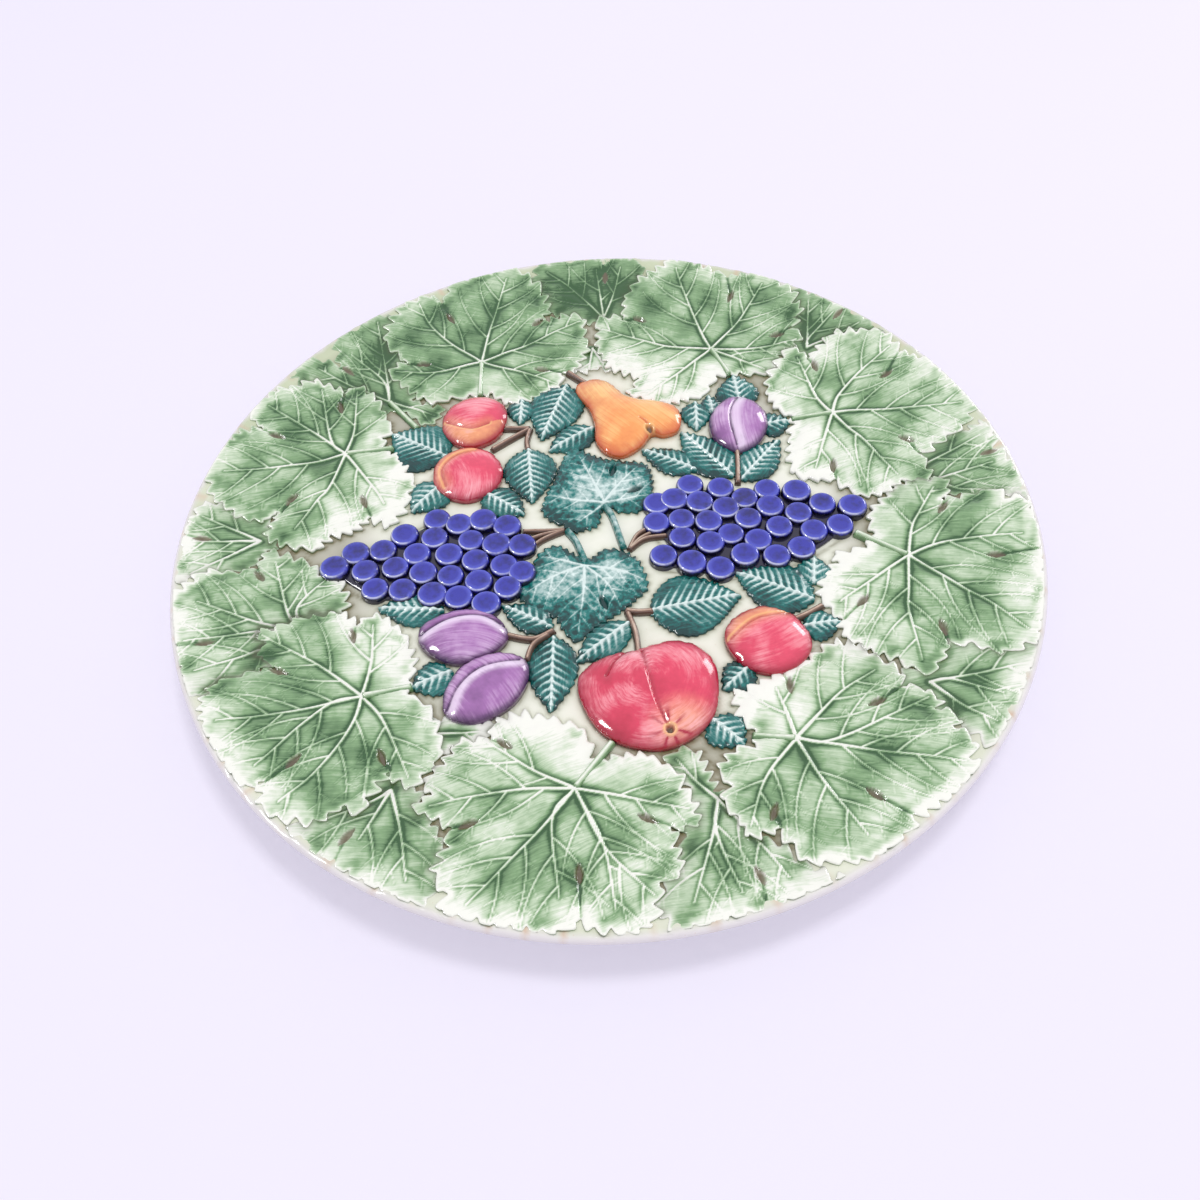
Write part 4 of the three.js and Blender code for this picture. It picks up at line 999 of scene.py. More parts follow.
def eye_marks(slits, hub, outline, points):
    """How far each point is inside the eye-shaped slits and in the grooves that join them to the edge."""
    eyes = np.zeros(len(points))
    grooves = np.zeros(len(points))
    for slit in slits:
        centre = np.array(slit, float)
        axis = centre - np.array(hub, float)
        axis /= np.hypot(*axis)
        offset = points - centre
        along = offset @ axis
        across = offset @ np.array([-axis[1], axis[0]])
        width = EYE_WIDTH * np.clip(1 - (along / EYE_LENGTH) ** 2, 0.02, 1)
        eye = smooth(1.3, 0.5, np.abs(across) / width) * (np.abs(along) < EYE_LENGTH)
        eyes = np.maximum(eyes, eye)
        way_out = nearest(centre[None], *closed_segments(outline))[1]
        away = nearest(points, centre[None], way_out)[0]
        grooves = np.maximum(grooves, np.exp(-((away / 0.6) ** 2)))
    return eyes, grooves


def behind(points, fronts):
    """How far each point lies under the leaves in front, and the painted shadow that their edges cast
    outside them.
    """
    cover = np.zeros(len(points))
    shadow = np.zeros(len(points))
    low, high = points.min(0) - 6, points.max(0) + 6
    for outline in fronts:
        if (outline.max(0) < low).any() or (outline.min(0) > high).any():
            continue
        away = nearest(points, *closed_segments(outline))[0]
        within = inside(points, outline)
        cover = np.maximum(cover, np.where(within, away, 0))
        halo = 0.75 * np.exp(-away / 0.7) + 0.25 * np.exp(-away / 4)
        shadow = np.maximum(shadow, np.where(within, 1, halo))
    return cover, shadow


def vine_leaf_relief(leaf, outline, thickness, fronts):
    """The relief of a green vine leaf."""
    seed = seed_at(leaf["hub"])
    tree = vein_tree(leaf["hub"], leaf["veins"], outline, RIM_VEINS, seed)

    def relief(points, depth):
        ribs, sides, beds = ridges(points, *tree, spreads=(1.0, 2.6, 5.0))
        eyes, grooves = eye_marks(leaf["slits"], leaf["hub"], outline, points)
        cover, shadow = behind(points, fronts)
        radius = np.hypot(points[:, 0], points[:, 1])
        ripple = np.sin(points[:, 0] * 0.24 + seed) * np.sin(points[:, 1] * 0.21 + 2 * seed)
        curl = np.sin((points[:, 0] - points[:, 1]) * 0.33 + seed) * np.exp(-(((depth - 2.5) / 2) ** 2))
        height = thickness * (0.74 + 0.26 * smooth(0, 8, depth)) + 0.35 * ripple + 0.35 * curl
        height += ribs - 0.9 * beds - 0.3 * np.exp(-((depth / 0.5) ** 2)) - 0.9 * grooves
        lips = smooth(0.02, 0.3, eyes) * smooth(0.75, 0.4, eyes)
        height = height * (1 - eyes) + 0.35 * eyes + 0.5 * lips
        height = np.maximum(height, 0.25) * (1 - 0.85 * smooth(0.2, 2.5, cover))
        white = leaf["white"] * smooth(130, 88, radius)
        lip = smooth(144, 163, radius) * (0.62 if leaf["hub"][1] < 20 else 0.2)
        slant = 0.4 * math.sin(seed)
        # Darker beside the veins, in their beds, in the grooves and in the hollows of the ripple: glaze
        # pooled there, deepened with painted shade.
        wash = np.clip(1.5 * sides - 2.4 * ribs, 0, 1)
        sunk = wash + 0.5 * beds + 0.9 * grooves - 0.3 * ripple - 0.4 * curl
        return height, {
            "vein": np.clip(ribs / 0.8, 0, 1) ** 1.3,
            "pool": np.clip(sunk, 0, 1.5),
            # Paler edges: the narrow band at the very edge is thin glaze with a painted highlight, the
            # wide band is the leaf's own paler glaze, and the lips round the slits carry a painted
            # highlight.
            "edge": 0.74 * np.exp(-depth / 0.6) + 0.38 * np.exp(-depth / 4) + 0.6 * lips,
            "tone": 0.8 * leaf["deep"] * (1 - 0.93 * white) * (1 - lip),
            # The slit mark here carries the painted shadow that the leaves in front cast on this one.
            "slit": 0.9 * shadow,
            "hole": eyes,
            "sweep": 0.09 * (points[:, 1] * math.cos(slant) + points[:, 0] * math.sin(slant)),
            "reach": 0.6 * points[:, 0],
        }

    return relief


def stem_relief(line, radius, thick, gleam=1.0, tone=0.45):
    """A half-round stem along a line, with a painted highlight along its top and painted shade down its
    sides. gleam is how pale the painted highlight is, tone how strong the glaze is.
    """

    def relief(points, depth):
        share = np.clip(depth / radius, 0, 1)
        reach = np.hypot(*(points - np.array(line[0])).T)
        return thick * (0.35 + 0.65 * np.sqrt(1 - (1 - share) ** 2)), {
            "vein": gleam * share,
            "tone": np.full(len(points), tone),
            "pool": 0.6 * (1 - share),
            "sweep": depth,
            "reach": reach,
        }

    return relief


def ribbon(line, radius, step=1.2):
    """The outline of a stem of that radius along a line."""
    path = rounded(line, False, step)
    heading = np.gradient(path, axis=0)
    side = np.stack([-heading[:, 1], heading[:, 0]], axis=1)
    side *= radius / np.hypot(side[:, 0], side[:, 1])[:, None]
    return np.vstack([path + side, (path - side)[::-1]])


def fruit_leaf_outline(start, end, half):
    """A pointed oval with fine teeth."""
    seed = seed_at(start)
    start, end = np.array(start, float), np.array(end, float)
    run = end - start
    across = np.array([-run[1], run[0]]) / np.hypot(*run)
    shares = np.linspace(0, 1, max(8, round(float(np.hypot(*run)) / 3)))
    swell = half * 1.32 * np.sin(math.pi * shares**0.85) ** 0.9 * (1 - 0.25 * shares)
    one = [start + run * share + across * width for share, width in zip(shares, swell)]
    other = [start + run * share - across * width for share, width in zip(shares[1:-1], swell[1:-1])]
    return toothed(one + other[::-1], *FRUIT_TEETH, seed)


def fruit_leaf_relief(start, end, half, thickness):
    """The relief of a toothed fruit leaf: a midrib and fat herringbone ribs."""
    start, end = np.array(start, float), np.array(end, float)
    run = end - start
    span = float(np.hypot(*run))
    way = run / span
    across = np.array([-way[1], way[0]])
    midrib = np.array([start, end])
    ribs = []
    count = max(4, round(span / 3.3))
    for index in range(count):
        for side in (-1, 1):
            root = start + run * (index + 0.35 + 0.1 * side) / (count + 0.4)
            reach = half * 1.25 * math.sin(math.pi * (index + 1) / (count + 1.5)) + 1
            tip = root + way * reach * 0.75 + across * side * reach
            ribs.append(rounded([root, (root + tip) / 2 + across * side * 0.3, tip], False, 1.0))
    rib_starts, rib_ends = segments(ribs)
    fall = np.concatenate([np.linspace(1, 0.45, len(rib) - 1) for rib in ribs])

    def relief(points, depth):
        middle = nearest(points, midrib[:1], midrib[1:])[0]
        spine = np.exp(-((middle / 0.6) ** 2))
        side = ridges(points, rib_starts, rib_ends, 0.64 * fall, fall)[0]
        height = thickness * (0.6 + 0.4 * smooth(0, 3, depth)) + 0.5 * spine + 0.55 * side
        height -= 0.35 * np.exp(-((depth / 0.5) ** 2)) + 0.4 * np.exp(-(((middle - 1.3) / 0.5) ** 2))
        faded = 1 - 0.6 * smooth(0.2, 1.0, middle / half)
        return height, {
            "vein": spine,
            "tone": side**1.4 * smooth(0.2, 2.0, depth) * faded,
            "edge": np.exp(-depth / 0.8),
            # Darker between the ribs: pooled glaze together with painted shade.
            "pool": np.clip(0.8 - side - spine, 0, 1) * 0.6,
            "sweep": (points - start) @ across,
            "reach": (points - start) @ way,
        }

    return relief


def centre_leaf_relief(leaf, outline, thickness):
    """The relief of a dark vine leaf in the well."""
    tree = vein_tree(leaf["hub"], leaf["veins"], outline, CENTRE_VEINS, seed_at(leaf["hub"]))
    main = [rounded([leaf["hub"], *end], False, 1.4) for end in leaf["veins"]]

    def relief(points, depth):
        ribs, beds = ridges(points, *tree, spreads=(1.0, 3.0))
        eyes, _ = eye_marks(leaf["slits"], leaf["hub"], outline, points)
        angle, reach = sweep_about(leaf["hub"], leaf["stalk"][-1], points)
        from_main = nearest(points, *segments(main))[0]
        height = thickness * (0.6 + 0.4 * smooth(0, 5, depth)) + ribs - 0.5 * beds
        height -= 0.4 * np.exp(-((depth / 0.5) ** 2))
        height = height * (1 - eyes) + 0.3 * eyes
        worn = 0.3 + 0.35 * np.exp(-from_main / 3)
        return np.maximum(height, 0.25), {
            "vein": np.clip(ribs / 0.45, 0, 1),
            # Darker in the vein beds: pooled glaze together with painted shade.
            "pool": np.clip(0.8 * beds - ribs, 0, 1),
            "edge": np.exp(-depth / 0.9),
            "tone": worn * smooth(0.5, 8, depth) * smooth(30, 4, reach),
            "hole": eyes,
            "sweep": angle,
            "reach": reach,
        }

    return relief


def inflated(outline, points):
    """Share of its full height, from 0 at the edge, of a skin blown up inside the outline."""
    low = outline.min(0) - 2 * SKIN_STEP
    count = np.ceil((outline.max(0) + 2 * SKIN_STEP - low) / SKIN_STEP).astype(int)
    columns, rows = np.meshgrid(np.arange(count[0]), np.arange(count[1]), indexing="ij")
    cells = np.stack([columns, rows], axis=-1) * SKIN_STEP + low
    within = inside(cells.reshape(-1, 2), outline).reshape(count)
    skin = np.zeros(count)
    for _ in range(SKIN_ROUNDS):
        beside = np.roll(skin, 1, 0) + np.roll(skin, -1, 0) + np.roll(skin, 1, 1) + np.roll(skin, -1, 1)
        skin = np.where(within, beside / 4 + 1, 0)
    place = (points - low) / SKIN_STEP
    corner = np.clip(np.floor(place).astype(int), 0, count - 2)
    part = place - corner
    x, y = corner.T
    near = skin[x, y] * (1 - part[:, 0]) + skin[x + 1, y] * part[:, 0]
    far = skin[x, y + 1] * (1 - part[:, 0]) + skin[x + 1, y + 1] * part[:, 0]
    return (near * (1 - part[:, 1]) + far * part[:, 1]) / skin.max()


def past_line(line, centre, points):
    """Distance of each point from a line, positive on the far side from the centre."""
    runs = line[1:] - line[:-1]

    def sided(spots):
        away, place, pick = nearest(spots, line[:-1], line[1:])
        offset = spots - place
        return away * np.sign(runs[pick, 0] * offset[:, 1] - runs[pick, 1] * offset[:, 0])

    return -sided(points) * np.sign(sided(centre[None])[0])


def fruit_light(fruit, past, points):
    """How far each point lies in the lighter part of a fruit. past is the distance beyond its seam."""
    if fruit["kind"] == "peach":
        return smooth(-6, 4, past)
    if fruit["kind"] == "plum":
        return 1.3 * smooth(0.4, -0.4, past) * smooth(-5.5, -1.5, past)
    place, spread = fruit["light"]
    return smooth(spread, 2, np.hypot(*(points - np.array(place)).T))


def apple_crease(crease, eye, points):
    """The apple's seam, faint half way along, and the spokes round its eye."""
    toward = points - np.array(eye)
    reach = np.hypot(*toward.T)
    spokes = np.cos(3.5 * np.arctan2(toward[:, 1], toward[:, 0]) + 0.6) ** 12
    faint = crease * (0.25 + 0.75 * (smooth(13, 6, reach) + smooth(22, 30, reach)))
    return np.maximum(faint, spokes * smooth(2.4, 3.0, reach) * smooth(10, 4, reach))


def fruit_relief(fruit, outline, height):
    """The relief of a round fruit with its seams and the eye at its flower end."""
    centre = outline.mean(0)
    seams = [rounded(seam, False, 1.0) for seam in fruit["seams"]]

    def relief(points, depth):
        full = np.clip(inflated(outline, points), 0, 1)
        to_seam = nearest(points, *segments(seams))[0]
        past = past_line(seams[0], centre, points)
        crease = np.exp(-((to_seam / 0.55) ** 2))
        dome = FRUIT_WALL + (height - FRUIT_WALL) * np.sqrt(full)
        dome = dome - 0.9 * crease - 0.5 * np.exp(-((to_seam / 2.0) ** 2))
        ring = np.zeros(len(points))
        hole = np.zeros(len(points))
        if "eye" in fruit:
            from_eye = np.hypot(*(points - np.array(fruit["eye"])).T)
            ring = np.exp(-(((from_eye - 2.0) / 0.5) ** 2))
            hole = smooth(1.7, 0.9, from_eye)
            dome = dome + 0.6 * ring - 1.5 * hole
        turn, reach = sweep_about(fruit["brush"], 2 * np.array(fruit["brush"]) - centre, points)
        light = fruit_light(fruit, past, points)
        # Darker towards the rim of the dome as painted shade, and darker towards the left.
        darkening = smooth(0.5, 0.0, full) + 0.3 * smooth(6, -14, points[:, 0] - centre[0])
        if fruit["kind"] == "peach":
            crease = 0.55 * crease
            ring = 0.8 * np.exp(-(((past - 1.0) / 0.5) ** 2))
        if fruit["kind"] == "plum":
            darkening = darkening * (1 - 0.9 * np.minimum(light, 1))
        if fruit["kind"] == "apple":
            darkening = darkening + 0.3 * np.exp(-((to_seam / 4.5) ** 2))
            crease = apple_crease(crease, fruit["eye"], points)
        return np.maximum(dome, 0.6), {
            "vein": crease,
            # Darker round the foot of the fruit as painted shade.
            "pool": smooth(1.6, 0.1, depth),
            "edge": darkening,
            "tone": light,
            "slit": ring,
            "hole": hole,
            "sweep": 0.1 * reach,
            "reach": 14 * turn,
        }

    return relief


# Glazes


def add_node(tree, kind, values=None, **settings):
    """Adds a shader node. values maps input names or numbers to constants or to sockets to link."""
    node = tree.nodes.new(kind)
    for key, value in settings.items():
        setattr(node, key, value)
    for key, value in (values or {}).items():
        if isinstance(value, bpy.types.NodeSocket):
            tree.links.new(value, node.inputs[key])
        else:
            node.inputs[key].default_value = value
    return node


def number(tree, operation, first, second=0.0, clamp=False):
    """The result of a sum on two numbers or sockets."""
    values = {0: first, 1: second}
    return add_node(tree, "ShaderNodeMath", values, operation=operation, use_clamp=clamp).outputs[0]


def noise(tree, place, scale, detail, roughness=0.5):
    """Cloudy noise between 0 and 1."""
    values = {"Vector": place, "Scale": scale, "Detail": detail, "Roughness": roughness}
    return add_node(tree, "ShaderNodeTexNoise", values).outputs[0]


def mixed(tree, share, first, second):
    """A colour between two colours or sockets."""
    values = {0: share}
    for key, tint in ((6, first), (7, second)):
        values[key] = tint if isinstance(tint, bpy.types.NodeSocket) else (*tint, 1.0)
    return add_node(tree, "ShaderNodeMix", values, data_type="RGBA").outputs[2]


def new_group(name, inputs, outputs):
    """An empty shader node group with number sockets, or vector ones for names that end in Vector."""
    group = bpy.data.node_groups.new(name, "ShaderNodeTree")
    for names, way in ((inputs, "INPUT"), (outputs, "OUTPUT")):
        for socket in names:
            kind = "NodeSocketVector" if socket.endswith("Vector") else "NodeSocketFloat"
            group.interface.new_socket(socket, in_out=way, socket_type=kind)
    return group, group.nodes.new("NodeGroupInput"), group.nodes.new("NodeGroupOutput")


def brush_group():
    """Fine streaks that follow the sweep of a brush, from -0.5 to 0.5."""
    name = "Brush Strokes"
    if name in bpy.data.node_groups:
        return bpy.data.node_groups[name]
    group, start, end = new_group(name, ("Across", "Along", "Fine"), ("Streak",))
    across = number(group, "MULTIPLY", start.outputs["Across"], start.outputs["Fine"])
    along = number(group, "MULTIPLY", start.outputs["Along"], 0.14)
    slow = number(group, "MULTIPLY", across, 0.15)
    bend = add_node(group, "ShaderNodeCombineXYZ", {0: slow, 1: along}).outputs[0]
    wander = noise(group, bend, 0.7, 1.0)
    across = number(group, "ADD", across, number(group, "MULTIPLY", wander, 4.0))
    place = add_node(group, "ShaderNodeCombineXYZ", {0: across, 1: along}).outputs[0]
    streak = number(group, "SUBTRACT", noise(group, place, 1.0, 5.0, 0.72), 0.5)
    group.links.new(number(group, "MULTIPLY", streak, 1.6), end.inputs["Streak"])
    return group


def ripple_group():
    """The uneven surface of fired glaze: slow waves, orange peel and a few pinholes."""
    name = "Fired Surface"
    if name in bpy.data.node_groups:
        return bpy.data.node_groups[name]
    group, start, end = new_group(name, ("Place Vector",), ("Height", "Blotch", "Mottle", "Pinhole"))
    place = start.outputs["Place Vector"]
    wave = number(group, "MULTIPLY", noise(group, place, 90.0, 2.0), 0.8)
    peel = number(group, "MULTIPLY", noise(group, place, 900.0, 2.0), 0.2)
    cell = add_node(group, "ShaderNodeTexVoronoi", {"Vector": place, "Scale": 260.0}).outputs["Distance"]
    group.links.new(number(group, "ADD", wave, peel), end.inputs["Height"])
    group.links.new(noise(group, place, 60.0, 5.0), end.inputs["Blotch"])
    group.links.new(noise(group, place, 420.0, 4.0), end.inputs["Mottle"])
    group.links.new(number(group, "LESS_THAN", cell, 0.055), end.inputs["Pinhole"])
    return group


class Glaze:
    """A material in the making, with the marks and the fired surface at hand."""

    def __init__(self, name, fine=9.0):
        self.material = bpy.data.materials.new(name)
        self.material.use_nodes = True
        self.tree = self.material.node_tree
        self.tree.nodes.clear()
        place = add_node(self.tree, "ShaderNodeTexCoord").outputs["Object"]
        surface = add_node(self.tree, "ShaderNodeGroup", {0: place}, node_tree=ripple_group())
        self.height = surface.outputs["Height"]
        self.blotch = number(self.tree, "SUBTRACT", surface.outputs["Blotch"], 0.5)
        self.mottle = number(self.tree, "SUBTRACT", surface.outputs["Mottle"], 0.5)
        self.pinhole = surface.outputs["Pinhole"]
        sweep = {"Across": self.mark("sweep"), "Along": self.mark("reach"), "Fine": fine}
        strokes = add_node(self.tree, "ShaderNodeGroup", sweep, node_tree=brush_group())
        self.streak = strokes.outputs["Streak"]
        thick = number(self.tree, "MULTIPLY", number(self.tree, "ADD", self.blotch, 0.12), 4.0, clamp=True)
        self.patchy = number(self.tree, "MULTIPLY", self.streak, thick)

    def mark(self, name):
        """One of the marks that the relief carries."""
        return add_node(self.tree, "ShaderNodeAttribute", attribute_name=name).outputs["Fac"]

    def sum(self, start, *parts):
        """start plus each part times its weight, kept between 0 and 1."""
        total = start
        for socket, weight in parts:
            total = number(self.tree, "ADD", total, number(self.tree, "MULTIPLY", socket, weight))
        return number(self.tree, "ADD", total, 0.0, clamp=True)

    def mix(self, share, first, second):
        """A colour between two colours."""
        return mixed(self.tree, share, first, second)

    def ramp(self, share, *stops):
        """A colour that runs through the stops, each a place and a colour."""
        node = add_node(self.tree, "ShaderNodeValToRGB", {0: share})
        band = node.color_ramp
        while len(band.elements) < len(stops):
            band.elements.new(0.5)
        for element, (place, tint) in zip(band.elements, stops):
            element.position = place
            element.color = (*tint, 1.0)
        return node.outputs[0]

    def finish(self, tint, roughness=0.2, coat=0.5, bump=0.12):
        """Joins the colour to a glossy shader."""
        tree = self.tree
        waves = {"Height": self.height, "Strength": bump, "Distance": 0.0006}
        normal = add_node(tree, "ShaderNodeBump", waves).outputs[0]
        rough = number(tree, "ADD", roughness, number(tree, "MULTIPLY", self.blotch, 0.12))
        shader = add_node(tree, "ShaderNodeBsdfPrincipled", {
            "Base Color": tint, "Roughness": rough, "Coat Weight": coat, "Coat Roughness": 0.08,
            "Normal": normal,
        })
        add_node(tree, "ShaderNodeOutputMaterial", {0: shader.outputs[0]})
        return self.material


def vine_glaze(glazes, name):
    """Translucent green that runs off veins and edges and pools beside them, darkened with painted shade
    in the hollows and the painted shadow of the leaves in front, with painted highlights on the edges.
    """
    glaze = Glaze(name, fine=14.0)
    share = glaze.sum(
        glaze.mark("tone"), (glaze.streak, 0.46), (glaze.blotch, 0.95), (glaze.mark("pool"), 0.68),
        (glaze.mark("vein"), -0.85), (glaze.mark("edge"), -0.4), (glaze.mottle, 0.2),
    )
    tint = glaze.ramp(
        share, (0.03, glazes.leaf_white), (0.28, glazes.leaf_pale), (0.55, glazes.leaf_mid),
        (0.95, glazes.leaf_deep),
    )
    # Painted shadow of the leaves in front, in moss green.
    tint = glaze.mix(glaze.sum(0.0, (glaze.mark("slit"), 0.8)), tint, glazes.leaf_shadow)
    tint = glaze.mix(glaze.sum(0.0, (glaze.mark("hole"), 0.8)), tint, glazes.hollow)
    return glaze.finish(tint, roughness=0.13, coat=0.55)


def teal_glaze(glazes, name, powder):
    """Dark teal that is worn pale along the ribs. powder is how grainy the worn parts are."""
    glaze = Glaze(name, fine=1.6)
    worn = glaze.sum(
        0.14, (glaze.mark("tone"), 0.78), (glaze.mark("vein"), 0.55), (glaze.mark("edge"), -0.12),
        (glaze.streak, 0.5), (glaze.blotch, 0.9), (glaze.mottle, powder),
    )
    tint = glaze.ramp(worn, (0.0, glazes.teal_deep), (0.25, glazes.teal), (0.85, glazes.teal_worn))
    # Darker where glaze pools, together with painted shade there, and in the slits.
    sunk = glaze.sum(0.0, (glaze.mark("pool"), 0.3), (glaze.mark("hole"), 1.0))
    tint = glaze.mix(sunk, tint, glazes.teal_deep)
    return glaze.finish(tint, roughness=0.2, coat=0.35)


def grape_glaze(glazes, name):
    """Cobalt, mottled on the dished tops and thin on their rims, with a painted glint on the near side of
    each rim and painted shade on the far side of the tops, down the lower sides and in the gaps.
    """
    glaze = Glaze(name)
    reach = glaze.mark("reach")
    near = glaze.mark("tone")
    place = glaze.sum(reach, (glaze.blotch, 0.15), (glaze.mottle, 0.2))
    tint = glaze.ramp(
        place, (0.5, glazes.grape), (0.8, glazes.grape_light), (0.88, glazes.grape),
        (0.96, glazes.grape_shadow),
    )
    # Darker patches on the tops, more of them on the far side as painted shade.
    spot = glaze.sum(0.7, (reach, -0.5), (near, -0.6), (glaze.blotch, 2.4), (glaze.mottle, 2.6))
    tint = glaze.mix(spot, tint, glazes.grape_dish)
    from_rim = number(glaze.tree, "ABSOLUTE", number(glaze.tree, "SUBTRACT", reach, 0.86))
    rim = glaze.sum(1.0, (from_rim, -14.0))
    # Painted glint on the rim, on the side near the viewer.
    bright = glaze.sum(-1.6, (near, 2.2), (glaze.height, 1.2), (glaze.mottle, 2.4))
    tint = glaze.mix(number(glaze.tree, "MULTIPLY", rim, bright), tint, glazes.grape_highlight)
    tint = glaze.mix(glaze.mark("pool"), tint, glazes.grape_shadow)
    return glaze.finish(tint, roughness=0.1, coat=0.6, bump=0.3)


def fruit_glaze(glazes, name, main, light, deep, pale):
    """Brushed colour with a lighter part, a darker edge of painted shade that is also darker towards the
    left, painted shade round the foot, a dark seam and a pale ring round the eye.
    """
    glaze = Glaze(name, fine=11.0)
    lit = glaze.sum(glaze.mark("tone"), (glaze.streak, 0.2), (glaze.blotch, 0.5))
    tint = glaze.mix(lit, main, light)
    tint = glaze.mix(glaze.sum(0.14, (glaze.patchy, 1.5), (glaze.blotch, 2.9)), tint, pale)
    dark = glaze.sum(
        0.0, (glaze.mark("vein"), 0.9), (glaze.mark("edge"), 0.6), (glaze.patchy, -1.4),
        (glaze.blotch, -1.7), (glaze.mottle, 0.5),
    )
    tint = glaze.mix(dark, tint, deep)
    tint = glaze.mix(glaze.sum(0.0, (glaze.mark("pool"), 0.75)), tint, deep)
    tint = glaze.mix(glaze.sum(0.0, (glaze.mark("slit"), 0.8)), tint, glazes.pear_light)
    tint = glaze.mix(glaze.mark("hole"), tint, glazes.hollow)
    return glaze.finish(tint, roughness=0.12, coat=0.6)


def bark_glaze(glazes, name, light):
    """Brown glaze with a painted highlight along the top of a stem and painted shade down its sides."""
    glaze = Glaze(name, fine=2.0)
    share = glaze.sum(
        glaze.mark("vein"), (glaze.streak, 0.6), (glaze.blotch, 0.5), (glaze.mark("pool"), -0.8)
    )
    dark = [0.35 * part for part in glazes.bark]
    return glaze.finish(glaze.ramp(share, (0.1, dark), (0.6, glazes.bark), (1.0, light)))


def ivory_glaze(glazes, name):
    """Cream ground with an olive halo round the sprigs that holds painted shade right against them, and
    bare clay where the glaze is rubbed.
    """
    glaze = Glaze(name)
    halo = glaze.sum(glaze.mark("tone"), (glaze.blotch, 0.5))
    tint = glaze.mix(halo, glazes.ivory, glazes.celadon)
    tint = glaze.mix(glaze.sum(glaze.mark("pool"), (glaze.blotch, 0.3)), tint, glazes.olive)
    # The lip colour round the edge, whose lavender tint is painted light reflected from the table.
    tint = glaze.mix(glaze.mark("edge"), tint, glazes.lip)
    bare = glaze.sum(0.0, (glaze.mark("slit"), 1.0), (glaze.pinhole, 0.35))
    tint = glaze.mix(bare, tint, glazes.clay)
    return glaze.finish(tint)


def clay_finish(glazes, name):
    """Bare clay on the foot, a little stained."""
    glaze = Glaze(name)
    stain = glaze.sum(0.35, (glaze.blotch, 1.6))
    tint = glaze.mix(stain, glazes.clay, glazes.ivory)
    return glaze.finish(tint, roughness=0.55, coat=0.05, bump=0.3)


def seen_rays(tree):
    """One for rays that leave the camera, reflect in a glaze or pass through it."""
    path = add_node(tree, "ShaderNodeLightPath").outputs
    mirrored = number(tree, "MAXIMUM", path["Is Camera Ray"], path["Is Glossy Ray"])
    return number(tree, "MAXIMUM", mirrored, path["Is Transmission Ray"])


# Outlines of everything that stands on the dish


def leaf_outline(leaf):
    """The toothed edge of a vine leaf, drawn out a little where it comes to the lip."""
    outline = toothed(leaf["edge"], *RIM_TEETH, seed_at(leaf["hub"]))
    radius = np.hypot(outline[:, 0], outline[:, 1])
    wanted = np.minimum(radius + 3.2 * smooth(140, 156, radius), LEAF_LIMIT)
    return outline * (wanted / radius)[:, None]


def centre_outline(leaf):
    """The softly lobed, finely toothed edge of a dark vine leaf."""
    return toothed(rounded(leaf["edge"], True, 3.2), *CENTRE_TEETH, seed_at(leaf["hub"]))


def all_outlines():
    """Points round the edges of all the sprigs."""
    outlines = [leaf_outline(leaf) for leaf in (*RIM_LEAVES.values(), *BACK_LEAVES.values())]
    outlines += [centre_outline(leaf) for leaf in CENTRE_LEAVES.values()]
    branch_leaves = [leaf for branch in BRANCHES.values() for leaf in branch["leaves"]]
    outlines += [fruit_leaf_outline(*leaf) for leaf in (*FRUIT_LEAVES.values(), *branch_leaves)]
    outlines += [rounded(fruit["edge"], True, 1.0) for fruit in FRUITS.values()]
    outlines += [rounded(bunch["base"], True, 1.0) for bunch in BUNCHES.values()]
    stems = [stem for branch in BRANCHES.values() for stem in branch["stems"]]
    stems += [stem for stalk in GRAPE_STALKS.values() for stem in stalk]
    outlines += [rounded(stem, False, 1.0) for stem in stems]
    return np.vstack(outlines)


# Operators


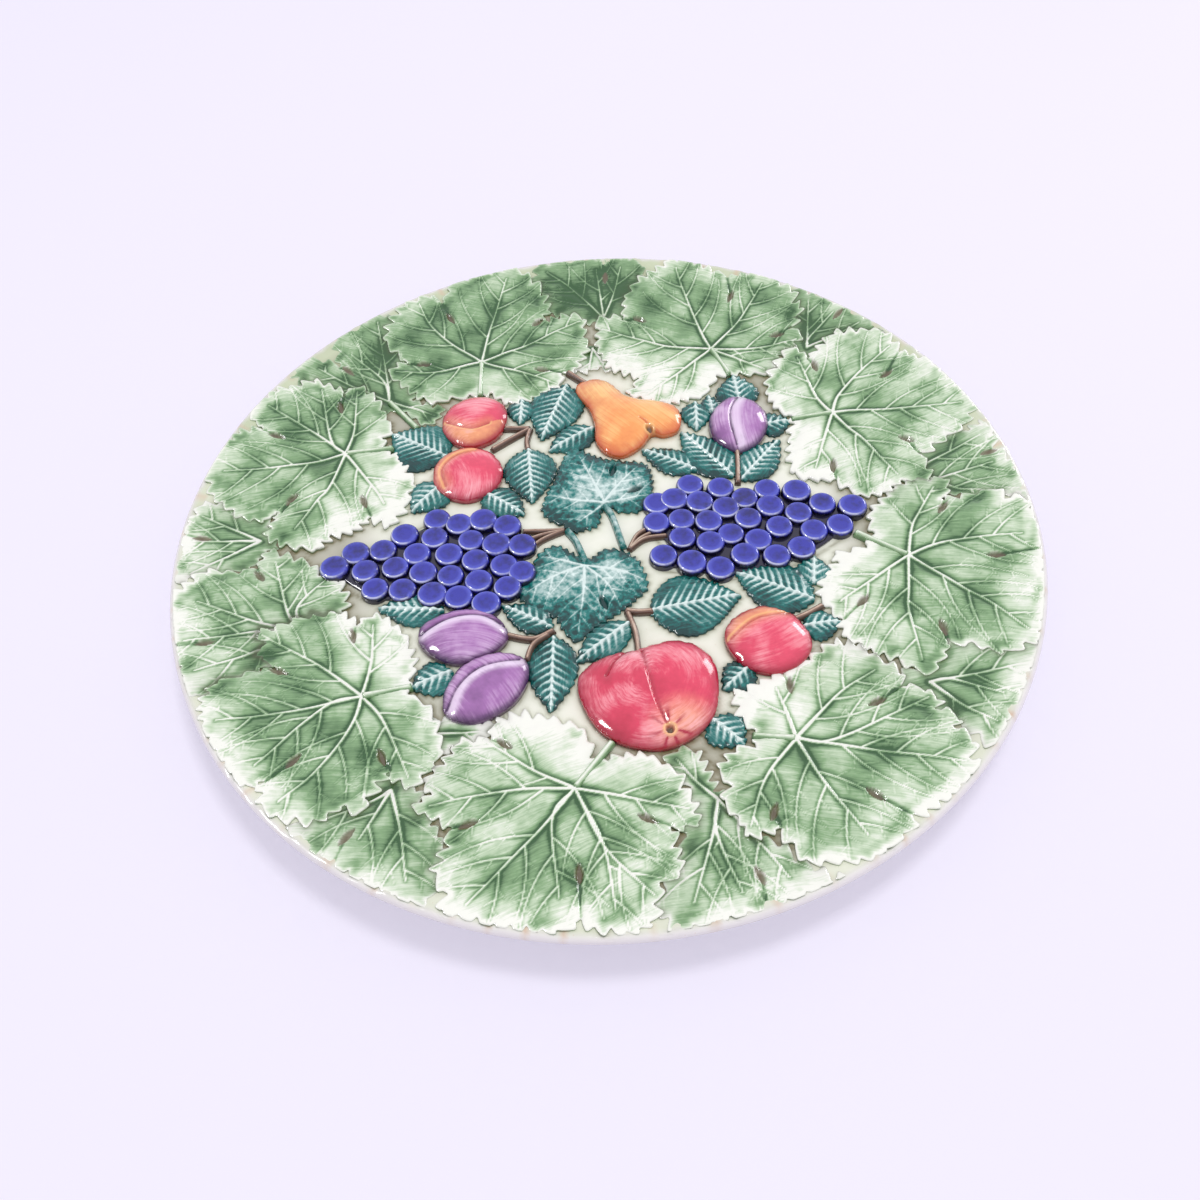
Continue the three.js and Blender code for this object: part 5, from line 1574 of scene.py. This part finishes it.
class PLATE_OT_dish(bpy.types.Operator):
    """Turn the dish and its foot ring"""

    bl_idname = "plate.dish"
    bl_label = "Dish and Foot"

    def execute(self, context):
        sizes = context.scene.plate_sizes
        glazes = context.scene.plate_glazes
        rim = sizes.rim_radius / MM
        radii = np.concatenate([np.linspace(0, 70, 84), np.linspace(71, rim - 2, 70)])
        tops = dish_height(sizes, np.stack([radii, np.zeros(len(radii))], axis=1))
        dish = self.turned(sizes, "glazed_dish", self.dish_section(sizes, radii, tops), DISH_STEPS)
        points = all_outlines()
        sprigs = kdtree.KDTree(len(points))
        for index, point in enumerate(points):
            sprigs.insert((*point, 0), index)
        sprigs.balance()
        for vert in dish.bm.verts:
            radius = math.hypot(vert.co.x, vert.co.y)
            upper = vert.co.z > np.interp(radius, radii, tops) - 0.2
            if upper:
                away = sprigs.find((vert.co.x, vert.co.y, 0))[2]
                self.mark_pools_and_shade(dish, vert, radius, away)
            # The lip and its outer side take the lip colour with its painted light reflected from the
            # table.
            vert[dish.marks["edge"]] = min(1, max(0, (radius - rim + 3) / 2.5))
            vert[dish.marks["sweep"]] = radius
            if radius > rim - 6:
                self.work_lip(dish, vert, radius, upper)
        dish.finish("dish_body", "ivory_glaze", [ivory_glaze(glazes, "Ivory Glaze")])
        ring = self.turned(sizes, "fired_foot_ring", self.foot_section(sizes), FOOT_STEPS)
        ring.finish("foot_ring", "ivory_glaze", [clay_finish(glazes, "Fired Clay")])
        return {"FINISHED"}

    @staticmethod
    def turned(sizes, name, section, steps):
        """A piece turned about the middle of the plate."""
        piece = Sprig(sizes, name)
        piece.turn((0, 0), 0, section, steps)
        bmesh.ops.remove_doubles(piece.bm, verts=piece.bm.verts[:], dist=0.001)
        return piece

    @staticmethod
    def dish_section(sizes, radii, tops):
        """Section of the dish: its face from the middle out, the rounded lip and the underside."""
        rim = sizes.rim_radius / MM
        foot = sizes.foot_height / MM
        crown = tops[-1]
        section = list(zip(radii, tops))
        for inward, drop in ((0.8, 0.4), (0.15, 1.3), (0, 2.25), (0.5, 3.3), (1.9, 4.1), (4, 4.5)):
            section.append((rim - inward, crown - drop))
        fall = crown - 4.5 - foot
        section += [(rim - 4 - 63 * s, foot + fall * (1 - s) ** 2) for s in np.linspace(0.08, 1, 14)]
        return section + [(70, foot), (35, foot), (0, foot)]

    @staticmethod
    def foot_section(sizes):
        """Section of the foot ring, with its lower corners rounded."""
        foot = sizes.foot_height / MM
        outer = sizes.foot_radius / MM
        inner = outer - sizes.foot_width / MM
        return [
            (inner, foot), (inner + 1.2, 0.7), (inner + 2, 0.0), (outer - 2, 0.0), (outer - 1.2, 0.7),
            (outer, foot), (inner, foot),
        ]

    @staticmethod
    def mark_pools_and_shade(dish, vert, radius, away):
        """Marks the glaze that gathers near sprigs, darkest right against them as painted contact shade,
        and the green tinge far out and far back.
        """
        rim = dish.sizes.rim_radius / MM
        outward = min(1, max(0, (rim - 6 - radius) / 12))
        hollow = 0.8 * math.exp(-away / 0.7) + min(0.6, max(0, (radius - 88) / 24))
        vert[dish.marks["pool"]] = min(1, hollow) * (0.1 + 0.9 * outward)
        far = min(1, max(0.45, (vert.co.y + 60) / 120)) * min(1, max(0, (radius - 130) / 15))
        vert[dish.marks["tone"]] = max(0.5 * math.exp(-away / 2.6), far)

    @staticmethod
    def work_lip(dish, vert, radius, upper):
        """Makes the lip slightly uneven and marks the small places where its glaze is rubbed off."""
        rim = dish.sizes.rim_radius / MM
        angle = math.atan2(vert.co.y, vert.co.x)
        if upper:
            bead = math.sin(angle * 83 + 3 * math.sin(angle * 13)) * math.sin(angle * 29 + 1)
            vert.co.z += 0.9 * bead * math.exp(-(((radius - rim + 2.4) / 1.4) ** 2))
        tick = max(0, math.sin(angle * 71 + 3 * math.sin(angle * 7))) ** 12
        rubbed = 0.6 + 0.4 * math.sin(angle * 17)
        vert[dish.marks["slit"]] = tick * rubbed * (1.0 if upper else 0.4)


class PLATE_OT_vine_leaves(bpy.types.Operator):
    """Mould the green vine leaves of the rim"""

    bl_idname = "plate.vine_leaves"
    bl_label = "Rim Leaves"

    def execute(self, context):
        sizes = context.scene.plate_sizes
        green = vine_glaze(context.scene.plate_glazes, "Vine Leaf Glaze")
        groups = (
            ({node: RIM_LEAVES[node] for node in FRONT_TO_BACK}, sizes.rim_leaf, "rim_leaf_glaze"),
            (BACK_LEAVES, sizes.back_leaf, "back_leaf_glaze"),
        )
        fronts = []
        for leaves, thickness, slot in groups:
            for node, leaf in leaves.items():
                outline = leaf_outline(leaf)
                sprig = Sprig(sizes, "glazed_" + node)
                sprig.sheet(outline, vine_leaf_relief(leaf, outline, thickness / MM, fronts))
                if "stalk" in leaf:
                    line = [leaf["hub"], leaf["stalk"]]
                    relief = stem_relief(line, LEAF_STALK, thickness / MM + 0.8, 0.45, 0.45)
                    sprig.sheet(ribbon(line, LEAF_STALK), relief)
                sprig.finish(node, slot, [green])
                fronts.append(outline)
        return {"FINISHED"}


class PLATE_OT_centre_leaves(bpy.types.Operator):
    """Mould the two dark vine leaves in the well"""

    bl_idname = "plate.centre_leaves"
    bl_label = "Centre Leaves"

    def execute(self, context):
        sizes = context.scene.plate_sizes
        teal = teal_glaze(context.scene.plate_glazes, "Centre Leaf Glaze", 1.2)
        for node, leaf in CENTRE_LEAVES.items():
            outline = centre_outline(leaf)
            sprig = Sprig(sizes, "glazed_" + node)
            relief = centre_leaf_relief(leaf, outline, sizes.centre_leaf / MM)
            sprig.sheet(outline, relief, FINE_GRAIN)
            line = leaf["stalk"]
            sprig.sheet(ribbon(line, LEAF_STALK), stem_relief(line, LEAF_STALK, 3.0, 0.3, 0.2), FINE_GRAIN)
            sprig.finish(node, "fruit_leaf_glaze", [teal])
        return {"FINISHED"}


class PLATE_OT_fruit_leaves(bpy.types.Operator):
    """Mould the toothed fruit leaves and the branches"""

    bl_idname = "plate.fruit_leaves"
    bl_label = "Fruit Leaves and Branches"

    def execute(self, context):
        sizes = context.scene.plate_sizes
        glazes = context.scene.plate_glazes
        teal = teal_glaze(glazes, "Fruit Leaf Glaze", 0.5)
        bark = bark_glaze(glazes, "Branch Glaze", glazes.bark_highlight)
        pieces = {node: {"stems": [], "leaves": [leaf]} for node, leaf in FRUIT_LEAVES.items()}
        pieces.update(BRANCHES)
        for node, piece in pieces.items():
            sprig = Sprig(sizes, "glazed_" + node)
            for leaf in piece["leaves"]:
                relief = fruit_leaf_relief(*leaf, sizes.fruit_leaf / MM)
                sprig.sheet(fruit_leaf_outline(*leaf), relief, FINE_GRAIN)
            for stem in piece["stems"]:
                sprig.sheet(ribbon(stem, BRANCH), stem_relief(stem, BRANCH, 2.6), FINE_GRAIN, material=1)
            sprig.finish(node, "fruit_leaf_glaze", [teal, bark])
        return {"FINISHED"}


class PLATE_OT_fruit(bpy.types.Operator):
    """Mould the pear, the apple, the peaches and the plums"""

    bl_idname = "plate.fruit"
    bl_label = "Fruit"

    def execute(self, context):
        sizes = context.scene.plate_sizes
        glazes = context.scene.plate_glazes
        bark = bark_glaze(glazes, "Pear Stem Glaze", glazes.bark_highlight)
        paints = {}
        for kind, (name, *tints) in FRUIT_GLAZES.items():
            paints[kind] = fruit_glaze(glazes, name, *(getattr(glazes, tint) for tint in tints))
        for node, fruit in FRUITS.items():
            kind = fruit["kind"]
            outline = rounded(fruit["edge"], True, 1.0)
            sprig = Sprig(sizes, "glazed_" + node)
            sprig.sheet(outline, fruit_relief(fruit, outline, getattr(sizes, kind) / MM), grain=0.5)
            if "stem" in fruit:
                relief = stem_relief(fruit["stem"], LEAF_STALK, 3)
                sprig.sheet(ribbon(fruit["stem"], LEAF_STALK), relief, FINE_GRAIN, material=1)
            sprig.finish(node, kind + "_glaze", [paints[kind], bark])
        return {"FINISHED"}


class PLATE_OT_grapes(bpy.types.Operator):
    """Mould the two bunches of grapes and their stalks"""

    bl_idname = "plate.grapes"
    bl_label = "Grapes"

    def execute(self, context):
        sizes = context.scene.plate_sizes
        glazes = context.scene.plate_glazes
        cobalt = grape_glaze(glazes, "Grape Glaze")
        bark = bark_glaze(glazes, "Grape Stalk Glaze", glazes.stalk_highlight)
        radius = sizes.berry_radius / MM
        height = sizes.berry_height / MM
        for node, bunch in BUNCHES.items():
            sprig = Sprig(sizes, "glazed_" + node)
            outline = rounded(bunch["base"], True, 1.0)
            outline = outline.mean(0) + (outline - outline.mean(0)) * BED_SHARE
            sprig.sheet(outline, self.bed_relief, grain=1.2)
            for index, (x, y) in enumerate(bunch["berries"]):
                size = radius * (0.94 + 0.1 * scatter(index))
                rise = height * (0.92 + 0.16 * scatter(index + 50))
                sprig.berry((x, y), size, rise)
            sprig.finish(node, "grape_glaze", [cobalt])
        for node, stems in GRAPE_STALKS.items():
            sprig = Sprig(sizes, "glazed_" + node)
            for stem in stems:
                sprig.sheet(ribbon(stem, GRAPE_STALK), stem_relief(stem, GRAPE_STALK, 2.4), grain=0.4)
            sprig.finish(node, "stalk_glaze", [bark])
        return {"FINISHED"}

    @staticmethod
    def bed_relief(points, depth):
        """Flat clay under the berries, marked all over for painted shade."""
        full = np.ones(len(points))
        return BED_HEIGHT * full, {"pool": full, "reach": full}


class PLATE_OT_stage(bpy.types.Operator):
    """Set the table, the lights and the camera"""

    bl_idname = "plate.stage"
    bl_label = "Stage"

    def execute(self, context):
        scene = context.scene
        glazes = scene.plate_glazes
        bm = bmesh.new()
        bmesh.ops.create_grid(bm, x_segments=1, y_segments=1, size=3.0)
        mesh = bpy.data.meshes.new("table")
        bm.to_mesh(mesh)
        bm.free()
        floor = bpy.data.objects.new("table", mesh)
        scene.collection.objects.link(floor)
        mesh.materials.append(self.table_paint(glazes))
        self.lamp(scene, "top_panel", (0.35, 0.2, 2.2), 0.5, 18.0).visible_glossy = False
        self.lamp(scene, "left_gleam", (-0.95, -0.25, 0.75), 0.26, 6.5).visible_diffuse = False
        self.lamp(scene, "right_gleam", (0.9, 0.85, 0.45), 0.35, 2.6).visible_diffuse = False
        self.sky(scene, glazes)
        self.camera(scene)
        scene.view_settings.view_transform = "Standard"
        return {"FINISHED"}

    @staticmethod
    def table_paint(glazes):
        """Pale paint that keeps a soft shadow and throws little light on the plate."""
        material = bpy.data.materials.new("Table")
        material.use_nodes = True
        tree = material.node_tree
        place = add_node(tree, "ShaderNodeTexCoord").outputs["Object"]
        cloud = number(tree, "MULTIPLY", noise(tree, place, 3.0, 2.0), 0.12)
        tint = mixed(tree, cloud, glazes.floor, WHITE)
        seen = seen_rays(tree)
        shader = tree.nodes["Principled BSDF"]
        shaded = mixed(tree, TABLE_GLOW, tint, BLACK)
        tree.links.new(mixed(tree, seen, tint, shaded), shader.inputs["Base Color"])
        tree.links.new(mixed(tree, seen, BLACK, glazes.glow), shader.inputs["Emission Color"])
        shader.inputs["Emission Strength"].default_value = TABLE_GLOW
        shader.inputs["Roughness"].default_value = 0.7
        shader.inputs["Specular IOR Level"].default_value = 0.1
        return material

    @staticmethod
    def lamp(scene, name, place, size, power):
        """A soft square lamp that faces the plate."""
        data = bpy.data.lights.new(name, "AREA")
        data.size = size
        data.energy = power
        lamp = bpy.data.objects.new(name, data)
        lamp.location = place
        lamp.rotation_euler = (-Vector(place)).to_track_quat("-Z", "Y").to_euler()
        scene.collection.objects.link(lamp)
        return lamp

    @staticmethod
    def sky(scene, glazes):
        """Even light from all round, seen as the colour of the table."""
        world = bpy.data.worlds.new("soft_sky")
        world.use_nodes = True
        scene.world = world
        tree = world.node_tree
        seen = seen_rays(tree)
        back = tree.nodes["Background"]
        even_light = (0.74, 0.73, 0.725)
        tree.links.new(mixed(tree, seen, even_light, glazes.floor), back.inputs[0])
        back.inputs[1].default_value = 1.0

    @staticmethod
    def camera(scene):
        """Looks down from the front, with a slight tilt of the frame."""
        data = bpy.data.cameras.new("photo_camera")
        data.sensor_width = 36.0
        data.lens = 31.91
        camera = bpy.data.objects.new("photo_camera", data)
        place = Vector((0.0, -0.27137, 0.33226))
        aim = Vector((-0.002945, -0.022544, 0.0))
        ahead = (aim - place).normalized()
        level = ahead.cross(Vector((0, 0, 1))).normalized()
        above = level.cross(ahead)
        tilt = math.radians(-3.988)
        right = math.cos(tilt) * level + math.sin(tilt) * above
        up = math.cos(tilt) * above - math.sin(tilt) * level
        turn = Matrix((right, up, -ahead)).transposed().to_4x4()
        camera.matrix_world = Matrix.Translation(place) @ turn
        scene.collection.objects.link(camera)
        scene.camera = camera


BUILD = (
    PLATE_OT_dish,
    PLATE_OT_vine_leaves,
    PLATE_OT_centre_leaves,
    PLATE_OT_fruit_leaves,
    PLATE_OT_fruit,
    PLATE_OT_grapes,
    PLATE_OT_stage,
)


class PLATE_PT_panel(bpy.types.Panel):
    """Builds the plate step by step"""

    bl_label = "Serving Plate"
    bl_idname = "PLATE_PT_panel"
    bl_space_type = "VIEW_3D"
    bl_region_type = "UI"
    bl_category = "Plate"

    def draw(self, context):
        layout = self.layout
        for operator in BUILD:
            layout.operator(operator.bl_idname)
        scene = context.scene
        for title, group in (("Sizes", scene.plate_sizes), ("Glazes", scene.plate_glazes)):
            box = layout.box()
            box.label(text=title)
            for name in group.__annotations__:
                box.prop(group, name)


CLASSES = (PlateSizes, PlateGlazes, *BUILD, PLATE_PT_panel)


def register():
    for item in CLASSES:
        bpy.utils.register_class(item)
    bpy.types.Scene.plate_sizes = PointerProperty(type=PlateSizes)
    bpy.types.Scene.plate_glazes = PointerProperty(type=PlateGlazes)


def unregister():
    del bpy.types.Scene.plate_glazes
    del bpy.types.Scene.plate_sizes
    for item in reversed(CLASSES):
        bpy.utils.unregister_class(item)


def main():
    register()
    bpy.ops.plate.dish()
    bpy.ops.plate.vine_leaves()
    bpy.ops.plate.centre_leaves()
    bpy.ops.plate.fruit_leaves()
    bpy.ops.plate.fruit()
    bpy.ops.plate.grapes()
    bpy.ops.plate.stage()
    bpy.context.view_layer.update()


if __name__ == "__main__":
    main()
